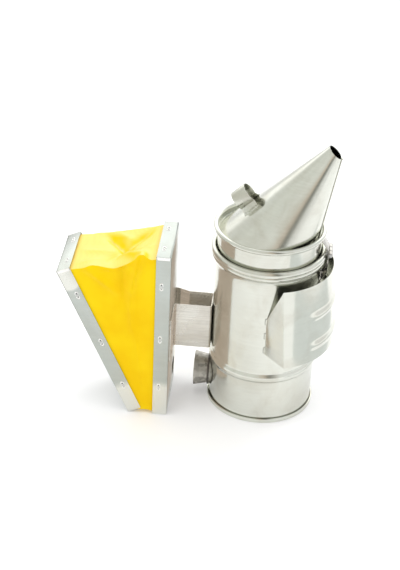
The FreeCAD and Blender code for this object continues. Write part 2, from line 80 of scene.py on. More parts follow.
# Heat guard
GUARD_LOW, GUARD_HIGH = 0.0740, 0.1550
GUARD_R_LOW, GUARD_R_HIGH = 0.0675, 0.0625
GUARD_EDGE = Vector((0.0026, -0.04993, 0))
GUARD_ALONG = Vector((0.8264, -0.5631, 0))
GUARD_TURN = math.atan2(GUARD_ALONG.y, GUARD_ALONG.x)
GUARD_CAN_LOW, GUARD_CAN_HIGH = 0.0798, 0.1186
RIBS = (0.0900, 0.1210)
TABS = (0.0835, 0.0995, 0.1155)

# Bellows
FACE_X = -0.0868
FLANGE = 0.0140
BOARD_FRONT, BOARD_REAR = -0.0520, 0.0160
BOARD_LOW, BOARD_HIGH = 0.0005, 0.1770
FOOT = Vector((-0.1249, 0, 0.0005))
MOVING_HIGH = 0.1670
OPEN = math.radians(24.4)
SIDE_CLIPS = (0.18, 0.49, 0.82)
END_CLIPS = (0.24, 0.80)
CLIP_SETBACK = 0.0055
SPARE_HOLE = (-0.040, 0.092)

# Lid hinge
PIN = Vector((0.0576, 0, 0.1685))
KNUCKLE_R = 0.00235

# Camera: turn, rise and roll in degrees, where it aims, how far away it stands, and its lens, whose
# focal length is given in rows of a frame of 570 rows
CAMERA_ANGLES = (4.0, 31.76, 2.59)
CAMERA_ASIDE, CAMERA_AIM_Z = -0.0633, 0.1216
CAMERA_AWAY = 1.527
CAMERA_SENSOR = 36.0
CAMERA_LENS = 1600.0 * CAMERA_SENSOR / 570.0


class SmokerSizes(bpy.types.PropertyGroup):
    """Sizes that a maker may change."""

    sheet: bpy.props.FloatProperty(
        name="Can sheet", description="Thickness of the can's and the lid's sheet",
        default=0.0006, min=0.0003, max=0.0015, unit="LENGTH")
    board_sheet: bpy.props.FloatProperty(
        name="Board sheet", description="Thickness of the bellows' boards",
        default=0.0008, min=0.0004, max=0.0015, unit="LENGTH")
    strip_sheet: bpy.props.FloatProperty(
        name="Bracket sheet", description="Thickness of the bracket's strip",
        default=0.0010, min=0.0005, max=0.0020, unit="LENGTH")
    rib_height: bpy.props.FloatProperty(
        name="Rib height", description="How far the guard's pressed ribs stand out",
        default=0.0020, min=0.0, max=0.0022, unit="LENGTH")
    loop_width: bpy.props.FloatProperty(
        name="Loop width", description="Width of the finger loop's strip",
        default=0.0155, min=0.008, max=0.020, unit="LENGTH")
    fold_depth: bpy.props.FloatProperty(
        name="Fold depth", description="Strength of the folds in the bellows' cloth",
        default=1.0, min=0.0, max=1.5, subtype="FACTOR")


class SmokerColours(bpy.types.PropertyGroup):
    """Colours of the finishes."""

    steel: bpy.props.FloatVectorProperty(
        name="Polished steel", description="Colour of the polished sheet",
        default=(0.705, 0.717, 0.655), size=3, min=0, max=1, subtype="COLOR")
    board: bpy.props.FloatVectorProperty(
        name="Boards", description="Colour of the bellows' satin boards",
        default=(0.50, 0.535, 0.505), size=3, min=0, max=1, subtype="COLOR")
    bracket: bpy.props.FloatVectorProperty(
        name="Bracket", description="Colour of the brushed strip",
        default=(0.80, 0.785, 0.725), size=3, min=0, max=1, subtype="COLOR")
    zinc: bpy.props.FloatVectorProperty(
        name="Air inlet", description="Colour of the dull zinc coat",
        default=(0.40, 0.385, 0.345), size=3, min=0, max=1, subtype="COLOR")
    cloth: bpy.props.FloatVectorProperty(
        name="Cloth", description="Colour of the bellows' coated cloth",
        default=(0.97, 0.665, 0.0), size=3, min=0, max=1, subtype="COLOR")
    soot: bpy.props.FloatVectorProperty(
        name="Grate", description="Colour of the grate's dull steel",
        default=(0.20, 0.19, 0.18), size=3, min=0, max=1, subtype="COLOR")
    strap: bpy.props.FloatVectorProperty(
        name="Hinge strap", description="Colour of the strap inside the bellows",
        default=(0.24, 0.15, 0.08), size=3, min=0, max=1, subtype="COLOR")


# ---- Mesh tools ----

def deselect():
    """Leaves edit mode and selects nothing."""
    if bpy.context.object and bpy.context.object.mode != "OBJECT":
        bpy.ops.object.mode_set(mode="OBJECT")
    bpy.ops.object.select_all(action="DESELECT")


def named(name):
    """Names the primitive just added and puts its origin at the frame's."""
    obj = bpy.context.object
    obj.name = name
    obj.data.name = name
    bpy.ops.object.transform_apply(location=True, rotation=True, scale=True)
    return obj


def only(obj):
    """Makes one object the selected and active one."""
    deselect()
    obj.select_set(True)
    bpy.context.view_layer.objects.active = obj


def edit(obj):
    """Opens an object in edit mode and returns its mesh."""
    only(obj)
    bpy.ops.object.mode_set(mode="EDIT")
    return bmesh.from_edit_mesh(obj.data)


def close_edit():
    """Leaves edit mode."""
    bpy.ops.object.mode_set(mode="OBJECT")


def select_all():
    """Selects the whole mesh in edit mode."""
    bpy.ops.mesh.select_all(action="SELECT")


def resized(obj, value, centre=(0, 0, 0)):
    """Resizes a whole mesh about a point."""
    edit(obj)
    select_all()
    bpy.ops.transform.resize(value=value, center_override=centre)
    close_edit()
    return obj


def solid(obj, thickness, offset):
    """Gives a sheet its thickness and turns every face outwards."""
    modify(obj, "SOLIDIFY", thickness=thickness, offset=offset)
    tidy(obj)


def pick(obj, kind, test):
    """Selects, in edit mode, the vertices, edges or faces whose place passes a test."""
    mesh = bmesh.from_edit_mesh(obj.data)
    bpy.ops.mesh.select_mode(type={"verts": "VERT", "edges": "EDGE", "faces": "FACE"}[kind])
    bpy.ops.mesh.select_all(action="DESELECT")
    for item in getattr(mesh, kind):
        if kind == "verts":
            chosen = test(item.co)
        elif kind == "edges":
            chosen = all(test(v.co) for v in item.verts)
        else:
            chosen = test(item.calc_center_median())
        item.select_set(chosen)
    bmesh.update_edit_mesh(obj.data)


def tidy(obj):
    """Merges doubles and turns every face outwards."""
    edit(obj)
    select_all()
    bpy.ops.mesh.remove_doubles(threshold=1e-6)
    bpy.ops.mesh.normals_make_consistent(inside=False)
    close_edit()


def modify(obj, kind, **values):
    """Adds a modifier and applies it."""
    only(obj)
    modifier = obj.modifiers.new(kind.lower(), kind)
    for key, value in values.items():
        setattr(modifier, key, value)
    bpy.ops.object.modifier_apply(modifier=modifier.name)


def bevel(obj, width, segments=2, angle=35.0):
    """Rounds every edge sharper than an angle."""
    modify(obj, "BEVEL", width=width, segments=segments, limit_method="ANGLE",
           angle_limit=math.radians(angle), harden_normals=False)


def cut(obj, *cutters):
    """Cuts holes with other objects, and removes those."""
    for cutter in cutters:
        modify(obj, "BOOLEAN", operation="DIFFERENCE", solver="EXACT", object=cutter)
        bpy.data.objects.remove(cutter)


def smooth(obj, angle=32.0):
    """Smooth shading, with edges sharper than an angle left crisp."""
    only(obj)
    bpy.ops.object.shade_smooth_by_angle(angle=math.radians(angle))


def joined(name, *objs):
    """Joins several objects into one."""
    only(objs[0])
    for obj in objs:
        obj.select_set(True)
    if len(objs) > 1:
        bpy.ops.object.join()
    objs[0].name = name
    objs[0].data.name = name
    return objs[0]


def placed(obj, turn=0.0, axis="Y", move=(0, 0, 0)):
    """Turns an object about an axis of the frame, moves it, and bakes that into its mesh."""
    only(obj)
    obj.matrix_world = Matrix.Translation(move) @ Matrix.Rotation(turn, 4, axis) @ obj.matrix_world
    bpy.ops.object.transform_apply(location=True, rotation=True, scale=True)
    return obj


def mirrored(obj):
    """Mirrors a mesh front to rear, with its faces still outwards."""
    obj.data.transform(Matrix.Diagonal((1, -1, 1, 1)))
    obj.data.flip_normals()
    return obj


def copied(obj, name):
    """A copy with its own mesh."""
    twin = obj.copy()
    twin.data = obj.data.copy()
    twin.name = name
    bpy.context.scene.collection.objects.link(twin)
    return twin


def three_point_arc(a, b, c, steps):
    """Points from a to c on the circle through a, b and c, without a itself."""
    a, b, c = (Vector(p) for p in (a, b, c))
    d = 2 * (a.x * (b.y - c.y) + b.x * (c.y - a.y) + c.x * (a.y - b.y))
    aa, bb, cc = a.length_squared, b.length_squared, c.length_squared
    x = (aa * (b.y - c.y) + bb * (c.y - a.y) + cc * (a.y - b.y)) / d
    y = (aa * (c.x - b.x) + bb * (a.x - c.x) + cc * (b.x - a.x)) / d
    centre = Vector((x, y))
    first = (a - centre).angle_signed(b - centre)
    second = (b - centre).angle_signed(c - centre)
    whole = -(first + second)
    points = []
    for i in range(1, steps + 1):
        turned = Matrix.Rotation(whole * i / steps, 2) @ (a - centre)
        points.append(tuple(centre + turned))
    return points


def circle_points(centre, radius, start, stop, steps):
    """Points on a circle between two angles in degrees, both ends included."""
    found = []
    for i in range(steps + 1):
        turn = math.radians(start + (stop - start) * i / steps)
        found.append((centre[0] + radius * math.cos(turn), centre[1] + radius * math.sin(turn)))
    return found


def thickened(profile, thickness):
    """A closed section: an open profile and its parallel, drawn on the profile's left."""
    inner = []
    for i, point in enumerate(profile):
        before = Vector(profile[max(i - 1, 0)])
        after = Vector(profile[min(i + 1, len(profile) - 1)])
        along = (after - before).normalized()
        inner.append((point[0] - along.y * thickness, point[1] + along.x * thickness))
    return profile + inner[::-1] + profile[:1]


def lathe(name, section, segments=ROUND):
    """A turned shape: a circle extruded and resized through a section of (radius, height) points."""
    deselect()
    radius, height = section[0]
    bpy.ops.mesh.primitive_circle_add(vertices=segments, radius=radius, location=(0, 0, height))
    obj = named(name)
    edit(obj)
    select_all()
    for (r0, z0), (r1, z1) in zip(section, section[1:]):
        bpy.ops.mesh.extrude_region_move(TRANSFORM_OT_translate={"value": (0, 0, z1 - z0)})
        grow = r1 / r0
        bpy.ops.transform.resize(value=(grow, grow, 1), center_override=(0, 0, z1))
    close_edit()
    tidy(obj)
    return obj


def ribbon(name, path, width):
    """A strip with no thickness: an edge, one width vector long, extruded along a path."""
    deselect()
    bpy.ops.mesh.primitive_plane_add(size=0.01)
    obj = named(name)
    mesh = edit(obj)
    mesh.verts.ensure_lookup_table()
    half = width / 2
    for vert, place in zip(mesh.verts, (path[0] - half, path[0] + half, path[1] - half, path[1] + half)):
        vert.co = place
    bmesh.update_edit_mesh(obj.data)
    ends = (path[1] - half, path[1] + half)
    pick(obj, "edges", lambda co: min((co - end).length for end in ends) < 1e-7)
    for here, there in zip(path[1:], path[2:]):
        bpy.ops.mesh.extrude_region_move(TRANSFORM_OT_translate={"value": there - here})
    close_edit()
    return obj


def bent(points, radius, steps=5):
    """A path through points with each corner rounded."""
    path = [points[0]]
    for before, corner, after in zip(points, points[1:], points[2:]):
        back = (before - corner).normalized()
        on = (after - corner).normalized()
        half = back.angle(on) / 2
        shorter = min((before - corner).length, (after - corner).length)
        reach = min(radius / math.tan(half), shorter * 0.45)
        size = reach * math.tan(half)
        centre = corner + (back + on).normalized() * (size / math.sin(half))
        first = corner + back * reach - centre
        last = corner + on * reach - centre
        whole = first.angle(last)
        for i in range(steps + 1):
            share = i / steps
            weight_a = math.sin((1 - share) * whole) / math.sin(whole)
            weight_b = math.sin(share * whole) / math.sin(whole)
            path.append(centre + first * weight_a + last * weight_b)
    path.append(points[-1])
    return path


def sheet_strip(name, path, width, thickness, side=0, round_edge=0.0002):
    """A strip of bent sheet."""
    strip = ribbon(name, path, width)
    solid(strip, thickness, side)
    bevel(strip, round_edge, 2, 60)
    return strip


def block(name, low, high):
    """A plain block between two corners, to cut with or to shape."""
    deselect()
    low, high = Vector(low), Vector(high)
    bpy.ops.mesh.primitive_cube_add(size=1, location=(low + high) / 2, scale=high - low)
    return named(name)


def rod(name, a, b, radius, sides=32):
    """A round bar between two points."""
    deselect()
    a, b = Vector(a), Vector(b)
    turn = Z.rotation_difference(b - a).to_euler()
    bpy.ops.mesh.primitive_cylinder_add(
        vertices=sides, radius=radius, depth=(b - a).length, location=(a + b) / 2, rotation=turn)
    return named(name)


def bead(name, place, radius, sides, squash):
    """A small round bead, squashed about its own middle."""
    deselect()
    bpy.ops.mesh.primitive_uv_sphere_add(
        segments=sides, ring_count=sides // 2, radius=radius, location=place)
    return resized(named(name), squash, place)


def two_finishes(obj, names, index):
    """Gives a part two finishes and uses one of them all over."""
    for name in names:
        obj.data.materials.append(bpy.data.materials[name])
    obj.data.polygons.foreach_set("material_index", [index] * len(obj.data.polygons))


def finish(obj, body, slot, material, *nodes, angle=32.0):
    """Shades a finished piece, gives it its finish, ties it to its body and hides the CAD nodes it stands
    in for.
    """
    smooth(obj, angle)
    if material:
        obj.data.materials.clear()
        obj.data.materials.append(bpy.data.materials[material])
    if nodes:
        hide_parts(*nodes)
    if body:
        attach(obj, body)
    return obj


# ---- Materials ----

def new_group(name, inputs, outputs):
    """An empty shader group with its sockets."""
    group = bpy.data.node_groups.new(name, "ShaderNodeTree")
    for socket, kind, value in inputs:
        made = group.interface.new_socket(socket, in_out="INPUT", socket_type=kind)
        if value is not None:
            made.default_value = value
    for socket, kind in outputs:
        group.interface.new_socket(socket, in_out="OUTPUT", socket_type=kind)
    return group, group.nodes.new("NodeGroupInput"), group.nodes.new("NodeGroupOutput")


def feed(tree, socket, value):
    """Links a socket to another, or sets it to a plain value."""
    if isinstance(value, bpy.types.NodeSocket):
        tree.links.new(value, socket)
    else:
        socket.default_value = value


def feed_all(tree, made, values):
    """Feeds several of a node's sockets by name."""
    for name, value in values.items():
        feed(tree, made.inputs[name], value)


def node(tree, kind, **values):
    """A node with its settings, and its sockets linked or set."""
    made = tree.nodes.new(kind)
    for key, value in values.items():
        if key in made.inputs:
            feed(tree, made.inputs[key], value)
        else:
            setattr(made, key, value)
    return made


def axes(tree, source):
    """The three parts of a place or direction."""
    return node(tree, "ShaderNodeSeparateXYZ", Vector=source).outputs


def bump(tree, height, distance, strength, **more):
    """A normal bumped by a height."""
    made = node(tree, "ShaderNodeBump", Height=height, Distance=distance, Strength=strength, **more)
    return made.outputs["Normal"]


def ramp(tree, source, low, high, first=(0, 0, 0, 1), last=(1, 1, 1, 1)):
    """A two-stop colour ramp on a value."""
    made = tree.nodes.new("ShaderNodeValToRGB")
    made.color_ramp.elements[0].position = low
    made.color_ramp.elements[0].color = first
    made.color_ramp.elements[1].position = high
    made.color_ramp.elements[1].color = last
    tree.links.new(source, made.inputs["Fac"])
    return made.outputs["Color"]


def mix_colour(tree, share, a, b, kind="MIX"):
    """Mixes two colours. Each input is a socket or a value."""
    made = node(tree, "ShaderNodeMix", data_type="RGBA", blend_type=kind)
    for socket, value in ((made.inputs["Factor"], share), (made.inputs[6], a), (made.inputs[7], b)):
        feed(tree, socket, value)
    return made.outputs[2]


def maths(tree, operation, a, b):
    """One sum on two values or sockets."""
    made = node(tree, "ShaderNodeMath", operation=operation)
    for socket, value in zip(made.inputs, (a, b)):
        feed(tree, socket, value)
    return made.outputs[0]


def object_place(tree, scale=(1, 1, 1)):
    """Object coordinates, stretched."""
    place = tree.nodes.new("ShaderNodeTexCoord").outputs["Object"]
    return node(tree, "ShaderNodeMapping", Vector=place, Scale=scale).outputs["Vector"]


def noise(tree, place, scale, detail=4.0, rough=0.5, twist=0.0):
    """A noise pattern at a place."""
    return node(tree, "ShaderNodeTexNoise", Vector=place, Scale=scale, Detail=detail, Roughness=rough,
                Distortion=twist).outputs["Fac"]


def brushed_group():
    """Fine straight lines. Inputs stretch them; outputs are a mask and a bumped normal."""
    group, start, end = new_group(
        "brushed_lines",
        [("Stretch", "NodeSocketVector", (1, 1, 60)), ("Depth", "NodeSocketFloat", 0.2)],
        [("Lines", "NodeSocketFloat"), ("Normal", "NodeSocketVector")])
    lines = noise(group, object_place(group, start.outputs["Stretch"]), 30.0, 6.0, 0.65)
    normal = bump(group, lines, 0.00006, start.outputs["Depth"])
    feed_all(group, end, {"Lines": lines, "Normal": normal})
    return group


def handling_group():
    """Marks of handling on bare metal: broad smears, finger smudges and fine specks, as one mask."""
    group, start, end = new_group(
        "handling_marks", [("Size", "NodeSocketFloat", 40.0)], [("Marks", "NodeSocketFloat")])
    place = object_place(group)
    broad = ramp(group, noise(group, place, start.outputs["Size"], 5.0, 0.6, 0.6), 0.42, 0.72)
    specks = ramp(group, noise(group, place, 900.0, 2.0), 0.62, 0.75)
    total = maths(group, "ADD", broad, maths(group, "MULTIPLY", specks, 0.25))
    clamp = node(group, "ShaderNodeClamp", Value=total)
    feed(group, end.inputs["Marks"], clamp.outputs["Result"])
    return group


def sheet_wave_group():
    """The slight unevenness of rolled sheet, as a normal on top of another."""
    group, start, end = new_group(
        "sheet_waves",
        [("Depth", "NodeSocketFloat", 0.2), ("Size", "NodeSocketFloat", 30.0),
         ("Normal", "NodeSocketVector", None)],
        [("Normal", "NodeSocketVector")])
    waves = noise(group, object_place(group, (1, 1, 0.6)), start.outputs["Size"], 2.0, 0.45)
    normal = bump(group, waves, 0.0010, start.outputs["Depth"], Normal=start.outputs["Normal"])
    feed(group, end.inputs["Normal"], normal)
    return group


def placed_group(tree, group, **values):
    """A node that holds a group."""
    return node(tree, "ShaderNodeGroup", node_tree=group, **values).outputs


def new_material(name):
    """An empty material with a Principled shader."""
    material = bpy.data.materials.new(name)
    material.use_nodes = True
    shader = material.node_tree.nodes["Principled BSDF"]
    return material, material.node_tree, shader


def metal(name, groups, colour, gloss, stretch, depth, wave, wave_size=26.0, mark_size=34.0,
          tint=0.88, streak=0.93):
    """A bare metal: brushed lines, handling marks in its gloss, and slightly uneven sheet."""
    material, tree, shader = new_material(name)
    low, high = gloss
    lines = placed_group(tree, groups["brushed"], Stretch=stretch, Depth=depth)
    marks = placed_group(tree, groups["handling"], Size=mark_size)["Marks"]
    waves = placed_group(tree, groups["waves"], Depth=wave, Size=wave_size, Normal=lines["Normal"])
    dull = tuple(c * tint * (1 - 0.03 * i) for i, c in enumerate(colour)) + (1,)
    worn = mix_colour(tree, marks, (*colour, 1), dull)
    streaks = ramp(tree, lines["Lines"], 0.3, 0.7, (streak, streak, streak, 1), (1, 1, 1, 1))
    smeared = maths(tree, "ADD", maths(tree, "MULTIPLY", marks, high - low), low)
    feed_all(tree, shader, {
        "Base Color": mix_colour(tree, 1.0, worn, streaks, "MULTIPLY"),
        "Roughness": maths(tree, "ADD", smeared, maths(tree, "MULTIPLY", lines["Lines"], 0.05)),
        "Normal": waves["Normal"],
        "Metallic": 1.0,
    })
    return material


# Painted reflection on the ends of the boards' front flanges: centre and reach
PAINTED_REFLECTION_ENDS = (
    ((-0.0940, -0.0530, 0.0060), 0.0330), ((-0.1200, -0.0530, 0.0040), 0.0330),
    ((-0.1830, -0.0530, 0.1450), 0.0135),
)


def paint_reflection_ends(material, colour):
    """Paints the front flanges' ends a paler colour: a painted reflection of the bright room they face."""
    tree = material.node_tree
    shader = tree.nodes["Principled BSDF"]
    base = shader.inputs["Base Color"].links[0].from_socket
    place = tree.nodes.new("ShaderNodeTexCoord").outputs["Object"]
    on_front = maths(tree, "LESS_THAN", axes(tree, place)["Y"], BOARD_FRONT + 0.0010)
    for centre, reach in PAINTED_REFLECTION_ENDS:
        far = node(tree, "ShaderNodeVectorMath", operation="DISTANCE")
        feed(tree, far.inputs[0], place)
        feed(tree, far.inputs[1], centre)
        near = ramp(tree, maths(tree, "DIVIDE", far.outputs["Value"], reach), 0.80, 1.08,
                    (1, 1, 1, 1), (0, 0, 0, 1))
        base = mix_colour(tree, maths(tree, "MULTIPLY", near, on_front), base, (*colour, 1))
    feed(tree, shader.inputs["Base Color"], base)


def zinc_material(colour):
    """Dull galvanised sheet: flat crystals of slightly different greys, and white bloom."""
    material, tree, shader = new_material("galvanised_sheet")
    place = object_place(tree)
    crystals = node(tree, "ShaderNodeTexVoronoi", Vector=place, Scale=260.0)
    dark = tuple(c * 0.62 for c in colour) + (1,)
    pale = tuple(min(c * 1.35, 1) for c in colour) + (1,)
    spangle = ramp(tree, crystals.outputs["Color"], 0.15, 0.85, dark, pale)
    bloom = ramp(tree, noise(tree, place, 160.0, 6.0, 0.7), 0.45, 0.75)
    feed_all(tree, shader, {
        "Base Color": mix_colour(tree, bloom, spangle, (*colour, 1)),
        "Roughness": maths(tree, "ADD", maths(tree, "MULTIPLY", bloom, 0.20), 0.38),
        "Normal": bump(tree, noise(tree, place, 420.0, 4.0), 0.00015, 0.35),
        "Metallic": 0.85,
    })


def cloth_material(colour):
    """Coated cloth: a fine weave under a soft film, with a painted sheen that makes it paler where it faces
    up.
    """
    material, tree, shader = new_material("coated_cloth")
    place = object_place(tree)
    warp, weft = (
        node(tree, "ShaderNodeTexWave", Vector=place, Scale=330.0, Distortion=0.6, Detail=2.0,
             bands_direction=direction).outputs["Fac"]
        for direction in "XZ")
    weave = maths(tree, "MAXIMUM", warp, weft)
    deep = (colour[0] * 0.97, colour[1] * 0.90, colour[2], 1)
    pale = (min(colour[0] * 1.02, 1), min(colour[1] * 1.06, 1), colour[2] + 0.004, 1)
    tone_and_painted_sheen = ramp(tree, noise(tree, place, 28.0, 3.0), 0.35, 0.65, deep, pale)
    facing = axes(tree, tree.nodes.new("ShaderNodeTexCoord").outputs["Normal"])
    # painted sheen: the colour turns paler yellow where the cloth faces up, as light from above would show
    # on it
    tone_and_painted_sheen = mix_colour(tree, ramp(tree, facing["Z"], 0.72, 1.0), tone_and_painted_sheen, (0.97, 0.715, 0.19, 1))
    thread = ramp(tree, weave, 0.2, 0.9, (0.93, 0.93, 0.93, 1), (1, 1, 1, 1))
    feed_all(tree, shader, {
        "Base Color": mix_colour(tree, 1.0, tone_and_painted_sheen, thread, "MULTIPLY"),
        "Roughness": maths(tree, "ADD", maths(tree, "MULTIPLY", noise(tree, place, 90.0), 0.16), 0.42),
        "Normal": bump(tree, weave, 0.00010, 0.30),
        "Coat Weight": 0.7,
        "Coat Roughness": 0.32,
        "Coat IOR": 1.20,
        "Specular IOR Level": 0.12,
        "Specular Tint": (1.0, 0.85, 0.05, 1),
    })


def strap_material(colour):
    """Matt leather-like strap."""
    material, tree, shader = new_material("strap_leather")
    place = object_place(tree)
    grain = node(tree, "ShaderNodeTexVoronoi", Vector=place, Scale=900.0)
    dark = tuple(c * 0.7 for c in colour) + (1,)
    feed_all(tree, shader, {
        "Base Color": ramp(tree, noise(tree, place, 60.0), 0.3, 0.7, dark, (*colour, 1)),
        "Normal": bump(tree, grain.outputs["Distance"], 0.0001, 0.5),
        "Roughness": 0.75,
    })


class SMOKER_OT_finishes(bpy.types.Operator):
    """Make every finish and give it to the CAD nodes"""

    bl_idname = "smoker.finishes"
    bl_label = "Finishes"

    def execute(self, context):
        colours = context.scene.smoker_colours
        groups = {"brushed": brushed_group(), "handling": handling_group(), "waves": sheet_wave_group()}
        steel, board = tuple(colours.steel), tuple(colours.board)
        bracket, soot = tuple(colours.bracket), tuple(colours.soot)
        for name, *values in (
            ("polished_sheet", steel, (0.12, 0.22), (1, 1, 45), 0.05, 0.12),
            ("rolled_edge", steel, (0.09, 0.16), (1, 1, 20), 0.02, 0.02),
            ("brushed_strip", bracket, (0.22, 0.34), (1.2, 1.2, 60), 0.9, 0.10, 26.0, 34.0, 0.88, 0.74),
            ("brushed_loop", (0.66, 0.67, 0.60), (0.20, 0.32), (1, 1, 30), 0.4, 0.05),
            ("satin_board", board, (0.17, 0.27), (1, 1, 12), 0.10, 0.12, 18.0, 22.0, 0.95),
            # near-black finish that paints the shade inside the clips' slots
            ("clip_slot", (0.10, 0.10, 0.10), (0.4, 0.5), (1, 1, 5), 0.1, 0.05),
            ("bright_clip", (0.96, 0.96, 0.94), (0.22, 0.34), (1, 1, 8), 0.1, 0.05),
            ("rivet_metal", (0.68, 0.68, 0.66), (0.22, 0.34), (1, 1, 5), 0.1, 0.05),
            ("hinge_metal", (0.60, 0.585, 0.55), (0.20, 0.34), (1, 1, 12), 0.2, 0.08),
            ("drawn_wire", (0.50, 0.50, 0.49), (0.24, 0.36), (1, 1, 6), 0.2, 0.05),
            ("dull_grate", soot, (0.45, 0.65), (3, 3, 3), 0.4, 0.2),
        ):
            metal(name, groups, *values)
        strip = bpy.data.materials["brushed_strip"].node_tree
        strip.nodes["Principled BSDF"].inputs["Metallic"].default_value = 0.8
        # paints a pale reflection onto the ends of the boards' front flanges
        paint_reflection_ends(bpy.data.materials["satin_board"], (0.74, 0.745, 0.69))
        zinc_material(tuple(colours.zinc))
        cloth_material(tuple(colours.cloth))
        strap_material(tuple(colours.strap))
        by_slot = {
            "polished_steel": "polished_sheet", "brushed_steel": "brushed_strip",
            "galvanised_steel": "galvanised_sheet", "grate_steel": "dull_grate",
            "board_steel": "satin_board", "clip_steel": "bright_clip", "hinge_steel": "hinge_metal",
            "rivet_steel": "rivet_metal", "wire_steel": "drawn_wire", "yellow_cloth": "coated_cloth",
            "strap_cloth": "strap_leather",
        }
        slots = {part["node"]: part["material_slot"] for part in frame["record"]["subparts"]}
        for name, obj in frame["nodes"].items():
            obj.data.materials.clear()
            obj.data.materials.append(bpy.data.materials[by_slot[slots[name]]])
        return {"FINISHED"}


# ---- Fire can ----

def cone_solid(name, x0, r0, x1, r1, z):
    """A solid cone along the X axis, to cut the inlet's hole."""
    deselect()
    bpy.ops.mesh.primitive_cone_add(
        vertices=96, radius1=r0, radius2=r1, depth=abs(x1 - x0),
        location=((x0 + x1) / 2, 0, z), rotation=(0, -math.pi / 2, 0))
    return named(name)


class SMOKER_OT_can(bpy.types.Operator):
    """Turn the can's wall with its beads and flared mouth, its base, and cut its openings"""

    bl_idname = "smoker.can"
    bl_label = "Fire can"

    def execute(self, context):
        sheet = context.scene.smoker_sizes.sheet
        middle = (BEAD_LOW + BEAD_HIGH) / 2
        profile = [(CAN_R, z) for z in (0.0016, 0.0045, 0.0250, 0.0440, BEAD_LOW - 0.0004)]
        profile += three_point_arc((CAN_R, BEAD_LOW), (CAN_R + 0.0020, middle), (CAN_R, BEAD_HIGH), 14)[:-1]
        profile += [(CAN_R, z) for z in (BEAD_HIGH + 0.0004, 0.0570, 0.0900, 0.1250, 0.1500, 0.1538)]
        start = (CAN_R, 0.1540)
        for over, end, steps in (
            ((0.0510, 0.1574), (0.0530, 0.1604), 6), ((0.0540, 0.1624), (0.0535, 0.1643), 6),
            ((0.0546, 0.1668), (0.0538, 0.1692), 8), ((0.0519, 0.1704), (0.0500, 0.1690), 8),
        ):
            profile += three_point_arc(start, over, end, steps)
            start = end
        wall = lathe("can_wall", thickened(profile, sheet))
        cutters = [cone_solid("inlet_hole", -0.0440, 0.0130, -0.0560, 0.0137, PORT_Z)]
        for z in TABS:
            for side in (1, -1):
                slot = block("slot", (-0.0036, -0.0003, z - 0.0033), (0.0010, 0.0008, z + 0.0033))
                placed(slot, GUARD_TURN, "Z", GUARD_EDGE)
                cutters.append(mirrored(slot) if side < 0 else slot)
        cut(wall, *cutters)
        finish(wall, "can", "polished_steel", "polished_sheet", "chamber_wall", angle=40)

        lip, top = 0.0520, 0.0044
        section = [(0.0010, 0.0010), (0.0300, 0.0010), (0.0494, 0.0010), (0.0499, 0.0002), (0.0504, 0.0)]
        section += circle_points((lip - 0.0009, 0.0009), 0.0009, -90, 0, 5)
        section += circle_points((lip - 0.0009, top - 0.0009), 0.0009, 0, 90, 5)
        section += [(0.0508, top), (0.0505, 0.0041), (0.0504, 0.0022), (CAN_R, 0.0018), (CAN_R, 0.0016)]
        section += [(0.0300, 0.0016), (0.0010, 0.0016), (0.0010, 0.0010)]
        base = lathe("can_base", section)
        edit(base)
        pick(base, "edges", lambda co: math.hypot(co.x, co.y) < 0.0011)
        bpy.ops.mesh.dissolve_edges()
        close_edit()
        finish(base, "can", "polished_steel", "rolled_edge", "base_pan", angle=40)
        return {"FINISHED"}


class SMOKER_OT_inlet(bpy.types.Operator):
    """Turn the flared air inlet and the wire ring at its root, whose near-black finish is painted shade
    where the tube enters the can
    """

    bl_idname = "smoker.inlet"
    bl_label = "Air inlet"

    def execute(self, context):
        sheet = context.scene.smoker_sizes.sheet
        profile = [(0.0132, 0.0455), (0.0138, 0.0490), (0.0150, 0.0555), (0.0164, 0.0625), (0.0169, 0.0646)]
        profile += [(0.01700, 0.0650)]
        tube = lathe("inlet_tube", thickened(profile, sheet), 96)
        placed(tube, -math.pi / 2, "Y", Z * PORT_Z)
        line = [Vector((-0.0505, 0, 0.0094)), Vector((-0.0646, 0, 0.0067))]
        seam = ribbon("inlet_seam", line, Y * 0.0030)
        modify(seam, "SOLIDIFY", thickness=0.0006, offset=0)
        tube = joined("inlet_tube", tube, seam)
        finish(tube, "can", "galvanised_steel", "galvanised_sheet", "air_inlet_tube")
        deselect()
        bpy.ops.mesh.primitive_torus_add(
            major_radius=0.0150, minor_radius=0.0009, major_segments=96, minor_segments=12,
            location=(-0.0510, 0, PORT_Z), rotation=(0, math.pi / 2, 0))
        ring = named("inlet_root_ring")
        edit(ring)
        pick(ring, "verts", lambda co: co.x > -0.0506)
        bpy.ops.transform.resize(value=(1, 0.985, 0.985), center_override=(-0.051, 0, PORT_Z))
        close_edit()
        # the ring takes the grate's near-black finish: painted shade for the dark collar where the tube
        # enters the can
        finish(ring, "can", "galvanised_steel", "dull_grate", "inlet_ring")
        return {"FINISHED"}


# ---- Heat guard ----

def guard_radius(z):
    """Outer radius of the guard's panel at a height."""
    return GUARD_R_LOW + (GUARD_R_HIGH - GUARD_R_LOW) * (z - GUARD_LOW) / (GUARD_HIGH - GUARD_LOW)


def press_ribs(obj, height):
    """Presses the two ribs out of the panel, fading at their ends."""
    for vert in obj.data.vertices:
        turn = abs(math.degrees(math.atan2(vert.co.y, vert.co.x)))
        ease = min(max((50.0 - turn) / 14.0, 0), 1)
        ease = ease * ease * (3 - 2 * ease)
        for z in RIBS:
            off = abs(vert.co.z - z) / 0.0062
            if off < 1 and ease > 0:
                grow = 1 + height * ease * math.cos(off * math.pi / 2) ** 2 / guard_radius(z)
                vert.co.x *= grow
                vert.co.y *= grow


def guard_side(side):
    """One side flange's line: its point at the can, its direction outwards, and the way inside."""
    point, along = (Vector((v.x, v.y * side, 0)) for v in (GUARD_EDGE, GUARD_ALONG))
    return point, along, Vector((-GUARD_ALONG.y, GUARD_ALONG.x * side, 0))


